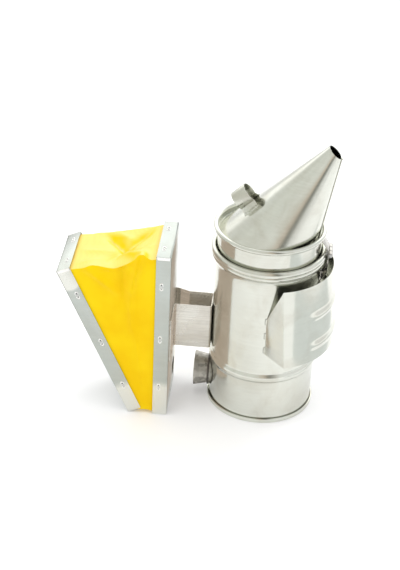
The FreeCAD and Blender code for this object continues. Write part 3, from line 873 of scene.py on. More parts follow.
def side_flange(side, sheet):
    """One side of the guard: a flat plate from its fold on the panel's edge in to the can."""
    point, along, inward = guard_side(side)

    def fold(z):
        half = point.dot(along)
        return math.sqrt(half * half + guard_radius(z) ** 2 - point.length_squared) - half

    outline = [
        (0.0012, GUARD_CAN_LOW), (0.0012, GUARD_CAN_HIGH),
        (fold(GUARD_HIGH) - 0.0018, GUARD_HIGH - 0.0042),
        (fold(GUARD_HIGH) - 0.00005, GUARD_HIGH), (fold(GUARD_LOW) - 0.00005, GUARD_LOW),
    ]
    deselect()
    bpy.ops.mesh.primitive_circle_add(vertices=len(outline), radius=0.01, fill_type="NGON")
    plate = named("flange")
    for vert, (share, z) in zip(plate.data.vertices, outline):
        vert.co = point + along * share + Z * z
    edit(plate)
    select_all()
    bpy.ops.mesh.extrude_region_move(TRANSFORM_OT_translate={"value": inward * sheet})
    close_edit()
    tidy(plate)
    bevel(plate, 0.00015, 2, 50)
    return plate


class SMOKER_OT_guard(bpy.types.Operator):
    """Turn the guard's panel, press its ribs, and fold its side flanges and tabs"""

    bl_idname = "smoker.guard"
    bl_label = "Heat guard"

    def execute(self, context):
        sizes = context.scene.smoker_sizes
        heights = [GUARD_LOW + (GUARD_HIGH - GUARD_LOW) * i / 81 for i in range(82)]
        panel = lathe("guard", [(guard_radius(z), z) for z in heights], 240)
        press_ribs(panel, sizes.rib_height)
        edit(panel)
        cuts = [(point, inward) for point, along, inward in map(guard_side, (1, -1))]
        for point, away in (*cuts, ((0.012, 0, 0), (1, 0, 0))):
            select_all()
            bpy.ops.mesh.bisect(plane_co=point, plane_no=away, clear_inner=True, clear_outer=False)
        close_edit()
        tidy(panel)
        solid(panel, sizes.sheet, -1)
        flanges = [side_flange(side, sizes.sheet) for side in (1, -1)]
        tabs = []
        for z in TABS:
            tab = block("tab", (-0.0034, 0.0, z - 0.0030), (0.0020, sizes.sheet, z + 0.0030))
            bevel(tab, 0.00015, 1)
            placed(tab, GUARD_TURN, "Z", GUARD_EDGE)
            tabs += [tab, mirrored(copied(tab, "tab"))]
        guard = joined("heat_guard_sheet", panel, *flanges, *tabs)
        finish(guard, "can", "polished_steel", "polished_sheet", "heat_guard", angle=30)
        return {"FINISHED"}


# ---- Lid ----

def on_cone(turn, share, height=0.0):
    """A point on the spout cone at a turn in degrees and a share of its length."""
    spoke = Vector((math.cos(math.radians(turn)), math.sin(math.radians(turn)), 0))
    foot = CONE_FOOT + spoke * (CONE_FOOT_R + height)
    head = CONE_TIP + Matrix.Rotation(CONE_TILT, 3, "Y") @ spoke * (CONE_TIP_R + height)
    return foot.lerp(head, share)


class SMOKER_OT_lid(bpy.types.Operator):
    """Turn the lid's band and rolled rim, and bridge the leaning spout cone with its seam"""

    bl_idname = "smoker.lid"
    bl_label = "Lid and spout"

    def execute(self, context):
        sheet = context.scene.smoker_sizes.sheet
        inner = 0.0484
        section = [(inner, 0.1590), (inner, 0.1700), (inner, 0.1800), (inner, 0.1880)]
        section += circle_points((ROLL_R, ROLL_Z), ROLL_SIZE, 180, -125, 30)
        section += circle_points((ROLL_R, ROLL_Z), ROLL_SIZE - sheet, -125, 180, 24)
        section += [(0.0490, 0.1880), (0.0490, 0.1800), (0.0490, 0.1700), (0.0490, 0.1592)]
        section += [(0.0488, 0.1590), (inner, 0.1590)]
        band = lathe("lid_band", section)
        finish(band, "lid", "polished_steel", "rolled_edge", "lid_collar", "lid_rim_wire", angle=40)

        deselect()
        bpy.ops.mesh.primitive_circle_add(vertices=ROUND, radius=CONE_FOOT_R, location=CONE_FOOT)
        foot = named("spout")
        deselect()
        bpy.ops.mesh.primitive_circle_add(
            vertices=ROUND, radius=CONE_TIP_R, location=CONE_TIP, rotation=(0, CONE_TILT, 0))
        head = named("spout_head")
        cone = joined("spout", foot, head)
        edit(cone)
        select_all()
        bpy.ops.mesh.bridge_edge_loops(number_cuts=20, interpolation="LINEAR")
        pick(cone, "edges", lambda co: abs(co.z - CONE_FOOT.z) < 1e-6)
        bpy.ops.mesh.extrude_region_move(TRANSFORM_OT_translate={"value": (0.0013, 0, 0)})
        grow = 0.04838 / CONE_FOOT_R
        bpy.ops.transform.resize(value=(grow, grow, 1), center_override=(0, 0, CONE_FOOT.z))
        pick(cone, "edges", lambda co: abs(co.z - CONE_FOOT.z) < 1e-6
             and abs((co - CONE_FOOT).length - CONE_FOOT_R) < 1e-5)
        bpy.ops.mesh.bevel(offset=0.0009, segments=3)
        close_edit()
        tidy(cone)
        solid(cone, sheet, -1)
        finish(cone, "lid", "polished_steel", "polished_sheet", "spout_cone", angle=50)

        path = [on_cone(SEAM_TURN, share, 0.0003) for share in (0.004, 0.25, 0.5, 0.75, 1.0)]
        seam = ribbon("spout_seam_fold", path, Y * 0.0030)
        solid(seam, 0.0009, 0)
        bevel(seam, 0.0004, 3, 50)
        knob = bead("seam_end", on_cone(SEAM_TURN - 4, 1.004, 0.0006), 0.0011, 24, (1.0, 1.35, 0.8))
        seam = joined("spout_seam_fold", seam, knob)
        finish(seam, "lid", "polished_steel", "rolled_edge", "spout_seam")
        return {"FINISHED"}


class SMOKER_OT_loop(bpy.types.Operator):
    """Bend the finger loop from a strip, with its two feet welded to the cone"""

    bl_idname = "smoker.loop"
    bl_label = "Finger loop"

    def execute(self, context):
        sizes = context.scene.smoker_sizes
        low, high = on_cone(180, 0), on_cone(180, 1)
        along = (high - low).normalized()
        out = along.cross(Y).normalized()
        if out.z < 0:
            out = -out
        root = low + along * 0.0398

        def at(y, n):
            return root + Y * y + out * n

        half = [(0.0130, -0.0015), (0.0096, -0.0003)]
        ring = circle_points((0, 0.0099), 0.0093, -40, 220, 36)
        path = [at(y, n) for y, n in half]
        path = bent(path + [at(*ring[0]), at(*ring[1])], 0.0012, 4)[:-1]
        path += [at(y, n) for y, n in ring[1:-1]]
        tail = [at(*ring[-2]), at(*ring[-1])] + [at(-y, n) for y, n in reversed(half)]
        path += bent(tail, 0.0012, 4)[1:]
        loop = sheet_strip("finger_loop_strip", path, along * sizes.loop_width, 0.0008, 0, 0.0002)
        marks = [
            bead("weld_mark", at(-0.0114, -0.0004) + along * spread, 0.0010, 20, (1, 1, 0.55))
            for spread in (-0.0055, 0.0055)
        ]
        loop = joined("finger_loop_strip", loop, *marks)
        for finish_name in ("brushed_loop", "polished_sheet"):
            loop.data.materials.append(bpy.data.materials[finish_name])
        for face in loop.data.polygons:
            face.material_index = int((face.center - root).dot(out) < 0.0010)
        finish(loop, "lid", "polished_steel", None, "finger_loop", angle=40)
        return {"FINISHED"}


class SMOKER_OT_hinge(bpy.types.Operator):
    """Roll the hinge's leaves round a wire pin"""

    bl_idname = "smoker.hinge"
    bl_label = "Lid hinge"

    def execute(self, context):
        thick = 0.0008
        mid = KNUCKLE_R - thick / 2
        back = PIN.x - mid

        def roll(start, stop):
            return [Vector((x, 0, z)) for x, z in circle_points((PIN.x, PIN.z), mid, start, stop, 22)]

        def plate(name, radius, spread, steps, z, tall):
            curve = circle_points((0, 0), radius + thick / 2, -spread, spread, steps)
            return sheet_strip(name, [Vector((x, y, z)) for x, y in curve], Z * tall, thick)

        up = [Vector((0.0504, 0, 0.1405)), Vector((back, 0, 0.1500)), Vector((back, 0, 0.1640))]
        plates = [sheet_strip("leaf", bent(up, 0.004, 6), Y * 0.018, thick)]
        plates.append(plate("leaf_plate", CAN_R, 10.4, 12, 0.1345, 0.0130))
        for side in (-1, 1):
            path = [Vector((back, 0, 0.1635))] + roll(180, -120)
            path = [point + Y * side * 0.00705 for point in path]
            plates.append(sheet_strip("leaf_knuckle", path, Y * 0.0058, thick))
        finish(joined("hinge_leaf_can", *plates), "can", "hinge_steel", "hinge_metal", "lid_hinge_can_leaf")

        down = [Vector((0.0494, 0, 0.1812)), Vector((back, 0, 0.1722)), Vector((back, 0, 0.1700))]
        plates = [sheet_strip("lid_leaf", bent(down, 0.0012, 4)[:-2], Y * 0.0158, thick)]
        plates.append(plate("lid_plate", 0.0490, 9.2, 10, 0.1838, 0.0062))
        path = [Vector((back, 0, 0.1724))] + roll(180, 480)
        plates.append(sheet_strip("lid_knuckle", path, Y * 0.0074, thick))
        finish(joined("hinge_leaf_lid", *plates), "lid", "hinge_steel", "hinge_metal", "lid_hinge_lid_leaf")

        pin = rod("hinge_wire", PIN - Y * 0.0104, PIN + Y * 0.0104, 0.00145)
        for side in (-1, 1):
            head = rod("pin_head", PIN + Y * side * 0.0100, PIN + Y * side * 0.0109, 0.0019)
            pin = joined("hinge_wire", pin, head)
        bevel(pin, 0.0003, 2, 50)
        finish(pin, "can", "hinge_steel", "drawn_wire", "lid_hinge_pin")
        return {"FINISHED"}


# ---- Rivets and clips ----

def domed_rivet(at, out, head=0.0022, rise=0.0011):
    """A rivet's domed head on a sheet, made from a sphere cut and flattened."""
    deselect()
    bpy.ops.mesh.primitive_uv_sphere_add(segments=32, ring_count=16, radius=head)
    obj = named("rivet")
    edit(obj)
    select_all()
    bpy.ops.mesh.bisect(plane_co=(0, 0, 0), plane_no=(0, 0, 1), clear_inner=True, use_fill=True)
    select_all()
    bpy.ops.transform.resize(value=(1, 1, rise / head), center_override=(0, 0, 0))
    pick(obj, "faces", lambda co: co.z < 1e-5)
    bpy.ops.mesh.extrude_region_move(TRANSFORM_OT_translate={"value": (0, 0, -0.0010)})
    bpy.ops.transform.resize(value=(0.55, 0.55, 1), center_override=(0, 0, -0.001))
    close_edit()
    obj.data.transform(Matrix.Translation(at) @ Z.rotation_difference(Vector(out)).to_matrix().to_4x4())
    return obj


class SMOKER_OT_rivets(bpy.types.Operator):
    """Set the domed rivets of the bracket and the lid hinge"""

    bl_idname = "smoker.rivets"
    bl_label = "Rivets"

    def execute(self, context):
        left = Vector((-1, 0, 0))
        small = (0.0018, 0.0007)
        on_can = [domed_rivet((-0.0510, -0.0010, z), left) for z in (0.067, 0.094)]
        on_can += [domed_rivet((-0.0494, -0.0010, z), -left, *small) for z in (0.067, 0.094)]
        places = ((-0.027, 0.080), (-0.038, 0.065))
        board = [domed_rivet((FACE_X + 0.001, y, z), -left) for y, z in places]
        board += [domed_rivet((FACE_X - 0.0008, y, z), left, *small) for y, z in places]
        board += [domed_rivet((-0.0904, 0.0170, z), Y) for z in (0.068, 0.093)]
        groups = [("bracket_rivets_can", "can", on_can, "bracket_can_rivets"),
                  ("bracket_rivets_board", "can", board, "bracket_board_rivets")]
        for name, body, radius, z, spread, cad in (
            ("hinge_rivets_can", "can", 0.0508, 0.134, 6.0, "lid_hinge_can_rivets"),
            ("hinge_rivets_lid", "lid", 0.0498, 0.1842, 5.0, "lid_hinge_lid_rivets"),
        ):
            outs = [Matrix.Rotation(math.radians(turn), 3, "Z") @ -left for turn in (-spread, spread)]
            groups.append((name, body, [domed_rivet(out * radius + Z * z, out) for out in outs], cad))
        for name, body, rivets, cad in groups:
            finish(joined(name, *rivets), body, "rivet_steel", "rivet_metal", cad, angle=45)
        return {"FINISHED"}


def pressed_clip(at, out, along):
    """One clip: a pressed bone-shaped eye round a near-black block that paints the shade of its slot, with
    a bent tongue through it.
    """
    deselect()
    bpy.ops.mesh.primitive_torus_add(
        major_radius=0.0018, minor_radius=0.00040, major_segments=32, minor_segments=8)
    eye = resized(named("clip"), (2.0, 0.95, 1.0))
    edit(eye)
    pick(eye, "verts", lambda co: abs(co.x) < 0.0014)
    bpy.ops.transform.resize(value=(1, 0.66, 1), center_override=(0, 0, 0))
    close_edit()
    tongue = block("tongue", (-0.0020, -0.00032, -0.0010), (0.0014, 0.00032, 0.00030))
    bevel(tongue, 0.00016, 2)
    # a near-black block just under the eye's face: painted shade where the slot's hollow would be
    slot = block("slot", (-0.0028, -0.0008, -0.0010), (0.0028, 0.0008, 0.00006))
    bevel(slot, 0.0006, 3, 80)
    for part in (eye, tongue, slot):
        two_finishes(part, ("bright_clip", "clip_slot"), int(part is slot))
    clip = joined("clip", eye, tongue, slot)
    across = Vector(out).cross(Vector(along))
    turn = Matrix((along, across, out)).transposed().to_4x4()
    clip.data.transform(Matrix.Translation(at) @ turn)
    return clip


def clip_row(name, x, low, high, facing):
    """All the clips round one upright board."""
    place = x + facing * (FLANGE - CLIP_SETBACK)
    clips = []
    for share in SIDE_CLIPS:
        z = low + (high - low) * share
        clips.append(pressed_clip((place, BOARD_FRONT, z), -Y, Z))
        clips.append(pressed_clip((place, BOARD_REAR, z), Y, Z))
    for share in END_CLIPS:
        y = BOARD_FRONT + (BOARD_REAR - BOARD_FRONT) * share
        clips.append(pressed_clip((place, y, high), Z, Y))
    return joined(name, *clips)


# ---- Bellows ----

def board_pan(name, x, low, high, facing, sheet):
    """A sheet pan folded from a block: its open side points along facing, with thin near-white strips at
    its top corners, partly the sheet's real fold and partly a painted highlight on it.
    """
    edge = x + facing * FLANGE
    pan = block(name, (min(x, edge), BOARD_FRONT, low), (max(x, edge), BOARD_REAR, high))
    edit(pan)
    pick(pan, "faces", lambda co: abs(co.x - edge) < 1e-6)
    bpy.ops.mesh.delete(type="ONLY_FACE")
    pick(pan, "edges", lambda co: abs(co.x - x) < 1e-6)
    bpy.ops.mesh.bevel(offset=0.0012, segments=4)
    pick(pan, "edges", lambda co: min(abs(co.y - BOARD_FRONT), abs(co.y - BOARD_REAR)) < 1e-6
         and abs(co.z - high) < 0.0013)
    bpy.ops.mesh.bevel(offset=0.0008, segments=3)
    close_edit()
    solid(pan, sheet, -1)
    bevel(pan, 0.00018, 2, 50)
    highlight_lips = []
    for y, out in ((BOARD_FRONT, -1), (BOARD_REAR, 1)):
        xs = sorted((x + facing * 0.0010, edge - facing * 0.0006))
        ys = sorted((y - out * 0.0002, y + out * 0.00045))
        lip = block("lip", (xs[0], ys[0], high - 0.0030), (xs[1], ys[1], high - 0.0001))
        edit(lip)
        for end, draw in zip(xs, (0.0006, -0.0006)):
            pick(lip, "verts", lambda co: co.z < high - 0.002 and abs(co.x - end) < 1e-6)
            bpy.ops.transform.translate(value=(draw, 0, 0))
        close_edit()
        bevel(lip, 0.00018, 2)
        highlight_lips.append(lip)
    # the corner strips take the near-white clip finish: a painted highlight along the fold at the top
    # corners
    for part in (pan, *highlight_lips):
        two_finishes(part, ("satin_board", "bright_clip"), int(part is not pan))
    return joined(name, pan, *highlight_lips)


def spare_hole():
    """The bar that bores the spare hole through board and bracket."""
    y, z = SPARE_HOLE
    return rod("spare", (FACE_X - 0.002, y, z), (FACE_X + 0.003, y, z), 0.0018)


def swing(obj):
    """Leans an upright board, drawn at x = 0, to where the open bellows hold it."""
    return placed(obj, -OPEN, "Y", FOOT)


def on_moving(depth, height, y=0.0):
    """A point by its depth behind the moving board's face and its height along the board."""
    return FOOT + Vector((
        depth * math.cos(OPEN) - height * math.sin(OPEN), y,
        depth * math.sin(OPEN) + height * math.cos(OPEN)))


class SMOKER_OT_boards(bpy.types.Operator):
    """Fold the two boards of the bellows and set their clips"""

    bl_idname = "smoker.boards"
    bl_label = "Bellows boards"

    def execute(self, context):
        sheet = context.scene.smoker_sizes.board_sheet
        fixed = board_pan("board_fixed", FACE_X, BOARD_LOW, BOARD_HIGH, -1, sheet)
        outlet = rod("outlet", (FACE_X - 0.004, 0, PORT_Z), (FACE_X + 0.002, 0, PORT_Z), 0.009, 64)
        cut(fixed, outlet, spare_hole())
        fixed_clips = clip_row("clips_fixed", FACE_X, BOARD_LOW, BOARD_HIGH, -1)
        moving = swing(board_pan("board_moving", 0, 0, MOVING_HIGH, 1, sheet))
        moving_clips = swing(clip_row("clips_moving", 0, 0, MOVING_HIGH, 1))
        for board, clips, body, cad in (
            (fixed, fixed_clips, "can", "fixed_board"),
            (moving, moving_clips, "bellows_board", "moving_board"),
        ):
            finish(board, body, "board_steel", None, cad, angle=35)
            finish(clips, body, "clip_steel", None, cad + "_clips", angle=45)
        return {"FINISHED"}


# Folds of the cloth: panel, start and end as shares (from the moving board, from the front or the bottom),
# half width as a share, and height in metres
FOLDS = (
    ("top", (0.26, 1.05), (0.52, 0.60), 0.055, -0.0060),
    ("top", (0.52, 0.60), (0.66, 0.40), 0.060, -0.0042),
    ("top", (0.90, 0.96), (0.60, 0.48), 0.055, -0.0060),
    ("top", (0.60, 0.48), (0.44, 0.20), 0.070, -0.0036),
    ("top", (0.42, 1.00), (0.62, 0.72), 0.050, 0.0030),
    ("top", (0.10, 0.50), (0.44, 0.42), 0.070, 0.0018),
    ("top", (0.84, 0.10), (0.60, 0.36), 0.060, 0.0044),
    ("top", (0.98, 0.45), (0.74, 0.30), 0.050, 0.0016),
    ("top", (0.02, 0.12), (0.30, 0.22), 0.050, 0.0012),
    ("front", (0.84, 1.02), (0.66, 0.80), 0.050, 0.0050),
    ("front", (0.66, 0.80), (0.56, 0.56), 0.055, 0.0030),
    ("front", (0.60, 1.00), (0.50, 0.74), 0.070, -0.0038),
    ("front", (0.15, 0.99), (0.46, 0.80), 0.045, 0.0034),
    ("front", (0.62, 0.62), (0.56, 0.15), 0.060, 0.0010),
    ("rear", (0.20, 0.99), (0.50, 0.72), 0.060, 0.0026),
    ("rear", (0.50, 1.00), (0.60, 0.72), 0.070, -0.0030),
    ("rear", (0.82, 0.99), (0.60, 0.62), 0.050, 0.0022),
)


def fold_height(panel, u, v, aspect):
    """Sum of a panel's folds at a place."""
    total = 0.0
    for where, start, end, half, height in FOLDS:
        if where != panel:
            continue
        a = Vector((start[0], start[1] * aspect))
        b = Vector((end[0], end[1] * aspect))
        p = Vector((u, v * aspect))
        run = b - a
        t = min(max((p - a).dot(run) / run.length_squared, 0), 1)
        off = (p - a - run * t).length / half
        fade = 0.55 + 0.45 * math.cos(math.pi * abs(t - 0.5))
        total += height * fade * math.exp(-off ** 1.4 * 1.2)
    return total


class SMOKER_OT_cloth(bpy.types.Operator):
    """Make the bellows' cloth sleeve: a wedge, finely divided, with folds between the boards"""

    bl_idname = "smoker.cloth"
    bl_label = "Bellows cloth"

    def execute(self, context):
        strength = context.scene.smoker_sizes.fold_depth
        inset = 0.0011
        tuck_fixed, tuck_moving = 0.0085, 0.0075  # how far the cloth reaches inside each board
        x_in = FACE_X - FLANGE + tuck_fixed
        front, rear = BOARD_FRONT + inset, BOARD_REAR - inset
        sleeve = block("bellows_cloth", (-0.15, front, 0.0), (-0.10, rear, 0.1))
        corners = {
            (1, 0): Vector((x_in, 0, BOARD_LOW + inset)), (1, 1): Vector((x_in, 0, BOARD_HIGH - inset)),
            (0, 0): on_moving(FLANGE - tuck_moving, inset),
            (0, 1): on_moving(FLANGE - tuck_moving, MOVING_HIGH - inset),
        }
        for vert in sleeve.data.vertices:
            place = corners[(int(vert.co.x > -0.12), int(vert.co.z > 0.05))]
            vert.co.x, vert.co.z = place.x, place.z
        edit(sleeve)
        ends = (x_in, sum(corners[0, top].x for top in (0, 1)) / 2)
        pick(sleeve, "faces", lambda co: min(abs(co.x - end) for end in ends) < 1e-4)
        bpy.ops.mesh.delete(type="ONLY_FACE")
        select_all()
        bpy.ops.mesh.subdivide(number_cuts=55)
        close_edit()
        rim_fixed = FACE_X - FLANGE
        low_fixed, high_fixed = Vector((rim_fixed, 0, BOARD_LOW)), Vector((rim_fixed, 0, BOARD_HIGH))
        low_moving, high_moving = on_moving(FLANGE, 0), on_moving(FLANGE, MOVING_HIGH)
        moves = []
        for vert in sleeve.data.vertices:
            co = vert.co
            rise = (co.z - BOARD_LOW) / (high_moving.z - BOARD_LOW)
            for _ in range(4):
                a = low_moving.lerp(high_moving, min(max(rise, 0), 1))
                b = low_fixed.lerp(high_fixed, min(max(rise, 0), 1))
                u = (co.x - a.x) / (b.x - a.x)
                line = a.z + (b.z - a.z) * u
                rise += (co.z - line) / (BOARD_HIGH - BOARD_LOW)
            gap = min(max(u, 0), 1)
            hold = min(gap / 0.16, (1 - gap) / 0.16, 1)
            hold = hold * hold * (3 - 2 * hold) if hold > 0 else 0
            depth = (co.y - front) / (rear - front)
            top = rise > 0.965
            wide = min((a - b).length / 0.080, 1)
            move = Vector((0, 0, 0))
            if top:
                crease = -0.0050 * math.exp(-((gap - 0.52) / 0.15) ** 2)
                crease += 0.0084 * math.exp(-((gap - 0.83) / 0.080) ** 2)
                crease += 0.0022 * math.exp(-((gap - 0.24) / 0.10) ** 2)
                near = max(1 - depth / 0.5, 0)
                far = max((depth - 0.5) / 0.5, 0)
                sag = -0.0022 * math.sin(math.pi * gap) * math.sin(math.pi * depth)
                still = min(max((1.0 - depth) / 0.22, 0), 1)
                folds = fold_height("top", gap, depth, 0.85) * still
                move.z = sag + folds + crease * near ** 2 - 0.0008 * far
                move.y = -0.0006 * near
            for panel, y, out in (("front", front, -1), ("rear", rear, 1)):
                if abs(co.y - y) < 1e-5:
                    belly = -0.0016 * math.sin(math.pi * gap) * min(rise * 1.6, 1) * (1 - 0.4 * rise)
                    drawn = fold_height(panel, gap, rise, 2.0) + belly
                    move.y += out * drawn * wide
            if rise < 0.035:
                move.z += 0.0006 * math.sin(math.pi * gap)
            moves.append((vert, move * hold * strength))
        for vert, move in moves:
            vert.co += move
        edit(sleeve)
        select_all()
        bpy.ops.mesh.normals_make_consistent(inside=False)
        bpy.ops.mesh.vertices_smooth(factor=0.4, repeat=1)
        close_edit()
        solid(sleeve, 0.0006, -1)
        finish(sleeve, None, "yellow_cloth", "coated_cloth", "bellows_skin", angle=70)
        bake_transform(sleeve)
        return {"FINISHED"}


class SMOKER_OT_inside(bpy.types.Operator):
    """Bend the return spring and the hinge strap inside the bellows"""

    bl_idname = "smoker.inside"
    bl_label = "Inside the bellows"

    def execute(self, context):
        middle = (BOARD_FRONT + BOARD_REAR) / 2
        coil_r, wire_r = 0.0070, 0.0012
        centre = Vector((-0.112, middle, 0.034))
        ends = (Vector((FACE_X - 0.0026, middle, 0.118)), on_moving(0.0026, 0.124, middle))
        turns = []
        for side, end in zip((1, -1), ends):
            reach = end - centre
            turn = math.acos(coil_r / reach.length)
            turns.append(Matrix.Rotation(side * turn, 3, "Y") @ reach.normalized() * coil_r)
        start = math.degrees(math.atan2(turns[0].z, turns[0].x))
        stop = math.degrees(math.atan2(turns[1].z, turns[1].x))
        while stop > start:
            stop -= 360
        path = [ends[0]]
        for i, (x, z) in enumerate(circle_points((centre.x, centre.z), coil_r, start, stop - 360, 60)):
            path.append(Vector((x, middle + 0.0028 * (i / 60 - 0.5), z)))
        path.append(ends[1])
        deselect()
        bpy.ops.curve.primitive_nurbs_path_add()
        wire = bpy.context.object
        wire.data.splines.clear()
        spline = wire.data.splines.new("POLY")
        spline.points.add(len(path) - 1)
        for point, place in zip(spline.points, path):
            point.co = (*place, 1)
        wire.data.bevel_depth = wire_r
        wire.data.bevel_resolution = 4
        wire.data.use_fill_caps = True
        bpy.ops.object.convert(target="MESH")
        wire = named("spring_wire")
        tidy(wire)
        finish(wire, None, "wire_steel", "drawn_wire", "return_spring", angle=60)
        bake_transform(wire)

        lift = 0.0036
        edge = FACE_X - FLANGE
        line = [Vector((edge + past, middle, BOARD_LOW + lift)) for past in (0.009, -0.001)]
        line += [on_moving(FLANGE + past, lift + 0.0004, middle) for past in (0.001, -0.008)]
        strap = sheet_strip("strap_inside", bent(line, 0.002, 4), Y * 0.050, 0.0007, 0, 0.0001)
        finish(strap, None, "strap_cloth", "strap_leather", "hinge_strap", angle=60)
        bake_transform(strap)
        return {"FINISHED"}


class SMOKER_OT_bracket(bpy.types.Operator):
    """Bend the bracket's strip between the can and the bellows"""

    bl_idname = "smoker.bracket"
    bl_label = "Bracket"

    def execute(self, context):
        thick = context.scene.smoker_sizes.strip_sheet
        half = thick / 2
        z = 0.0805
        points = [
            Vector((FACE_X + half, -0.0440, z)), Vector((FACE_X + half, -0.0140 + half, z)),
            Vector((-CAN_R - half, -0.0140 + half, z)), Vector((-CAN_R - half, 0.0120 - half, z)),
            Vector((-0.0740, 0.0120 - half, z)), Vector((FACE_X + 0.0015, 0.0170 - half, z)),
            Vector((-0.0934, 0.0170 - half, z)),
        ]
        strip = ribbon("bracket_strip", bent(points, 0.0022, 6), Z * 0.047)
        solid(strip, thick, 0)
        cut(strip, spare_hole())
        bevel(strip, 0.00022, 2, 60)
        finish(strip, "can", "brushed_steel", "brushed_strip", "bellows_bracket", angle=40)
        return {"FINISHED"}


# ---- Stage ----

def area_light(name, place, aim, size, power, colour):
    """A soft square light aimed at a point."""
    data = bpy.data.lights.new(name, "AREA")
    data.shape = "RECTANGLE"
    data.size, data.size_y = size
    data.energy = power
    data.color = colour
    obj = bpy.data.objects.new(name, data)
    bpy.context.scene.collection.objects.link(obj)
    obj.location = place
    obj.visible_glossy = False
    obj.rotation_euler = (Vector(aim) - Vector(place)).to_track_quat("-Z", "Y").to_euler()
    return obj


def reflection_card(name, corners, colour):
    """A glowing card beside the object, seen only in its reflections."""
    deselect()
    bpy.ops.mesh.primitive_plane_add(size=1)
    card = named(name)
    for vert, place in zip(card.data.vertices, (corners[0], corners[1], corners[3], corners[2])):
        vert.co = place
    material, tree, shader = new_material(name)
    dim = tuple(c * 0.86 for c in colour) + (1,)
    tone = mix_colour(tree, noise(tree, object_place(tree), 12.0), (*colour, 1), dim)
    feed_all(tree, shader, {"Emission Color": tone, "Emission Strength": 1.0, "Base Color": (0, 0, 0, 1)})
    card.data.materials.append(material)
    card.visible_camera = card.visible_diffuse = card.visible_shadow = False


# Tones of the room as bright metal sees it: degrees from the front, and colour
ROOM = (
    (-180, (1.00, 1.00, 1.00)), (-125, (0.95, 0.96, 0.93)), (-98, (0.78, 0.79, 0.74)),
    (-80, (0.92, 0.93, 0.88)), (-50, (0.82, 0.83, 0.78)), (-20, (0.96, 0.96, 0.92)),
    (-4, (0.84, 0.84, 0.79)), (6, (0.82, 0.73, 0.64)), (13, (0.66, 0.58, 0.50)),
    (18, (0.22, 0.23, 0.20)), (25, (0.30, 0.30, 0.28)), (34, (0.90, 0.90, 0.88)),
    (60, (1.10, 1.10, 1.08)), (95, (1.20, 1.20, 1.20)), (120, (0.80, 0.86, 0.90)),
    (180, (1.00, 1.00, 1.00)),
)


def room_light(tree):
    """An even white room; in reflections it has the soft bands of screens and walls."""
    away = axes(tree, tree.nodes.new("ShaderNodeTexCoord").outputs["Generated"])
    turn = maths(tree, "ARCTAN2", away["X"], maths(tree, "MULTIPLY", away["Y"], -1.0))
    share = maths(tree, "ADD", maths(tree, "DIVIDE", turn, 2 * math.pi), 0.5)
    bands = node(tree, "ShaderNodeValToRGB", Fac=share)
    bands.color_ramp.interpolation = "B_SPLINE"
    stops = bands.color_ramp.elements
    while len(stops) < len(ROOM):
        stops.new(1.0)
    for stop, (degrees, colour) in zip(stops, ROOM):
        stop.position = degrees / 360 + 0.5
        stop.color = (*colour, 1)
    high = ramp(tree, away["Z"], 0.06, 0.30)
    behind = ramp(tree, away["Y"], 0.45, 0.75)
    window = mix_colour(tree, 1.0, high, behind, "MULTIPLY")
    mirrored_room = mix_colour(tree, window, bands.outputs["Color"], (1.95, 1.95, 1.92, 1))
    ray = tree.nodes.new("ShaderNodeLightPath").outputs
    plain = mix_colour(tree, ray["Is Camera Ray"], (0.88, 0.88, 0.88, 1), (1, 1, 1, 1))
    seen = mix_colour(tree, ray["Is Glossy Ray"], plain, mirrored_room)
    feed_all(tree, tree.nodes["Background"], {"Color": seen, "Strength": 1.0})


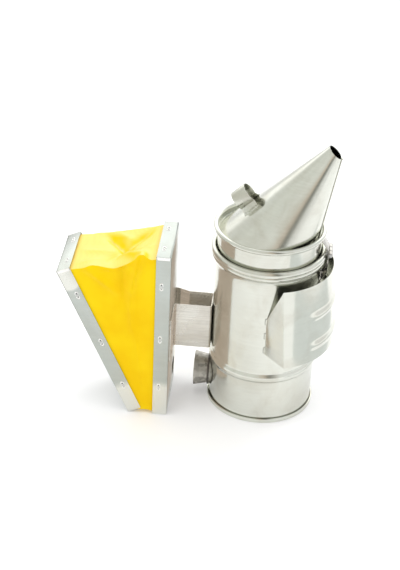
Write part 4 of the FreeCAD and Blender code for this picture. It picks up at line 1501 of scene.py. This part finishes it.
class SMOKER_OT_stage(bpy.types.Operator):
    """Set the floor, the soft lights and the camera"""

    bl_idname = "smoker.stage"
    bl_label = "Stage"

    def execute(self, context):
        scene = context.scene
        scene.view_settings.view_transform = "Standard"
        world = bpy.data.worlds.new("soft_room")
        scene.world = world
        world.use_nodes = True
        room_light(world.node_tree)

        deselect()
        bpy.ops.mesh.primitive_plane_add(size=8, location=(0, 0, 0))
        floor = named("floor")
        material, tree, shader = new_material("pale_floor")
        feed_all(tree, shader, {
            "Base Color": ramp(tree, noise(tree, object_place(tree), 6.0), 0.3, 0.7,
                               (0.82, 0.82, 0.82, 1), (0.84, 0.84, 0.84, 1)),
            "Roughness": 0.60,
            "Emission Color": (1, 1, 1, 1),
            "Emission Strength": 0.17,
        })
        floor.data.materials.append(material)

        reflection_card("card_warm", (
            (-0.084, -0.050, 0.004), (-0.084, 0.014, 0.004),
            (-0.084, 0.014, 0.172), (-0.084, -0.050, 0.172)), (0.60, 0.50, 0.41))
        reflection_card("card_grey", (
            (0.150, -0.150, 0.001), (0.330, -0.300, 0.001),
            (0.330, 0.140, 0.001), (0.160, 0.140, 0.001)), (0.86, 0.90, 0.90))

        area_light("key", (-0.5, -0.2, 1.7), (-0.08, 0, 0.08), (0.9, 0.9), 9.0, (1.0, 0.99, 0.97))
        area_light("back", (0.7, 0.9, 1.2), (0, 0, 0.1), (0.8, 0.6), 9.0, (0.98, 0.99, 1.0))
        area_light("side", (1.2, -0.5, 0.5), (0, 0, 0.12), (0.3, 0.9), 1.5, (1, 1, 1))

        turn, rise, roll = (math.radians(angle) for angle in CAMERA_ANGLES)
        target = Vector((CAMERA_ASIDE * math.cos(turn), CAMERA_ASIDE * math.sin(turn), CAMERA_AIM_Z))
        back = Vector((math.sin(turn) * math.cos(rise), -math.cos(turn) * math.cos(rise), math.sin(rise)))
        right = Vector((math.cos(turn), math.sin(turn), 0))
        up = back.cross(right)
        tilted_right = right * math.cos(roll) + up * math.sin(roll)
        tilted_up = up * math.cos(roll) - right * math.sin(roll)
        data = bpy.data.cameras.new("camera")
        data.sensor_width = CAMERA_SENSOR
        data.lens = CAMERA_LENS
        data.clip_end = 20.0
        camera = bpy.data.objects.new("camera", data)
        scene.collection.objects.link(camera)
        turned = Matrix((tilted_right, tilted_up, back)).transposed().to_4x4()
        camera.matrix_world = Matrix.Translation(target + back * CAMERA_AWAY) @ turned
        scene.camera = camera
        return {"FINISHED"}


OPERATORS = (
    SMOKER_OT_stage, SMOKER_OT_finishes, SMOKER_OT_can, SMOKER_OT_inlet, SMOKER_OT_guard, SMOKER_OT_lid,
    SMOKER_OT_loop, SMOKER_OT_hinge, SMOKER_OT_rivets, SMOKER_OT_boards, SMOKER_OT_cloth, SMOKER_OT_inside,
    SMOKER_OT_bracket,
)


class SMOKER_PT_panel(bpy.types.Panel):
    """Lists the smoker's pieces and sizes in the sidebar"""

    bl_idname = "SMOKER_PT_panel"
    bl_label = "Bee Smoker"
    bl_space_type = "VIEW_3D"
    bl_region_type = "UI"
    bl_category = "Smoker"

    def draw(self, context):
        for made in OPERATORS:
            self.layout.operator(made.bl_idname)
        for settings in (context.scene.smoker_sizes, context.scene.smoker_colours):
            for name in settings.__annotations__:
                self.layout.prop(settings, name)


CLASSES = (SmokerSizes, SmokerColours, *OPERATORS, SMOKER_PT_panel)


def register():
    """Registers the classes and hangs the settings on the scene."""
    for item in CLASSES:
        bpy.utils.register_class(item)
    bpy.types.Scene.smoker_sizes = bpy.props.PointerProperty(type=SmokerSizes)
    bpy.types.Scene.smoker_colours = bpy.props.PointerProperty(type=SmokerColours)


def unregister():
    """Takes the settings off the scene and removes the classes."""
    del bpy.types.Scene.smoker_colours
    del bpy.types.Scene.smoker_sizes
    for item in reversed(CLASSES):
        bpy.utils.unregister_class(item)


def main():
    """Makes the whole smoker."""
    register()
    for made in OPERATORS:
        group, name = made.bl_idname.split(".")
        getattr(getattr(bpy.ops, group), name)()


if __name__ == "__main__":
    main()
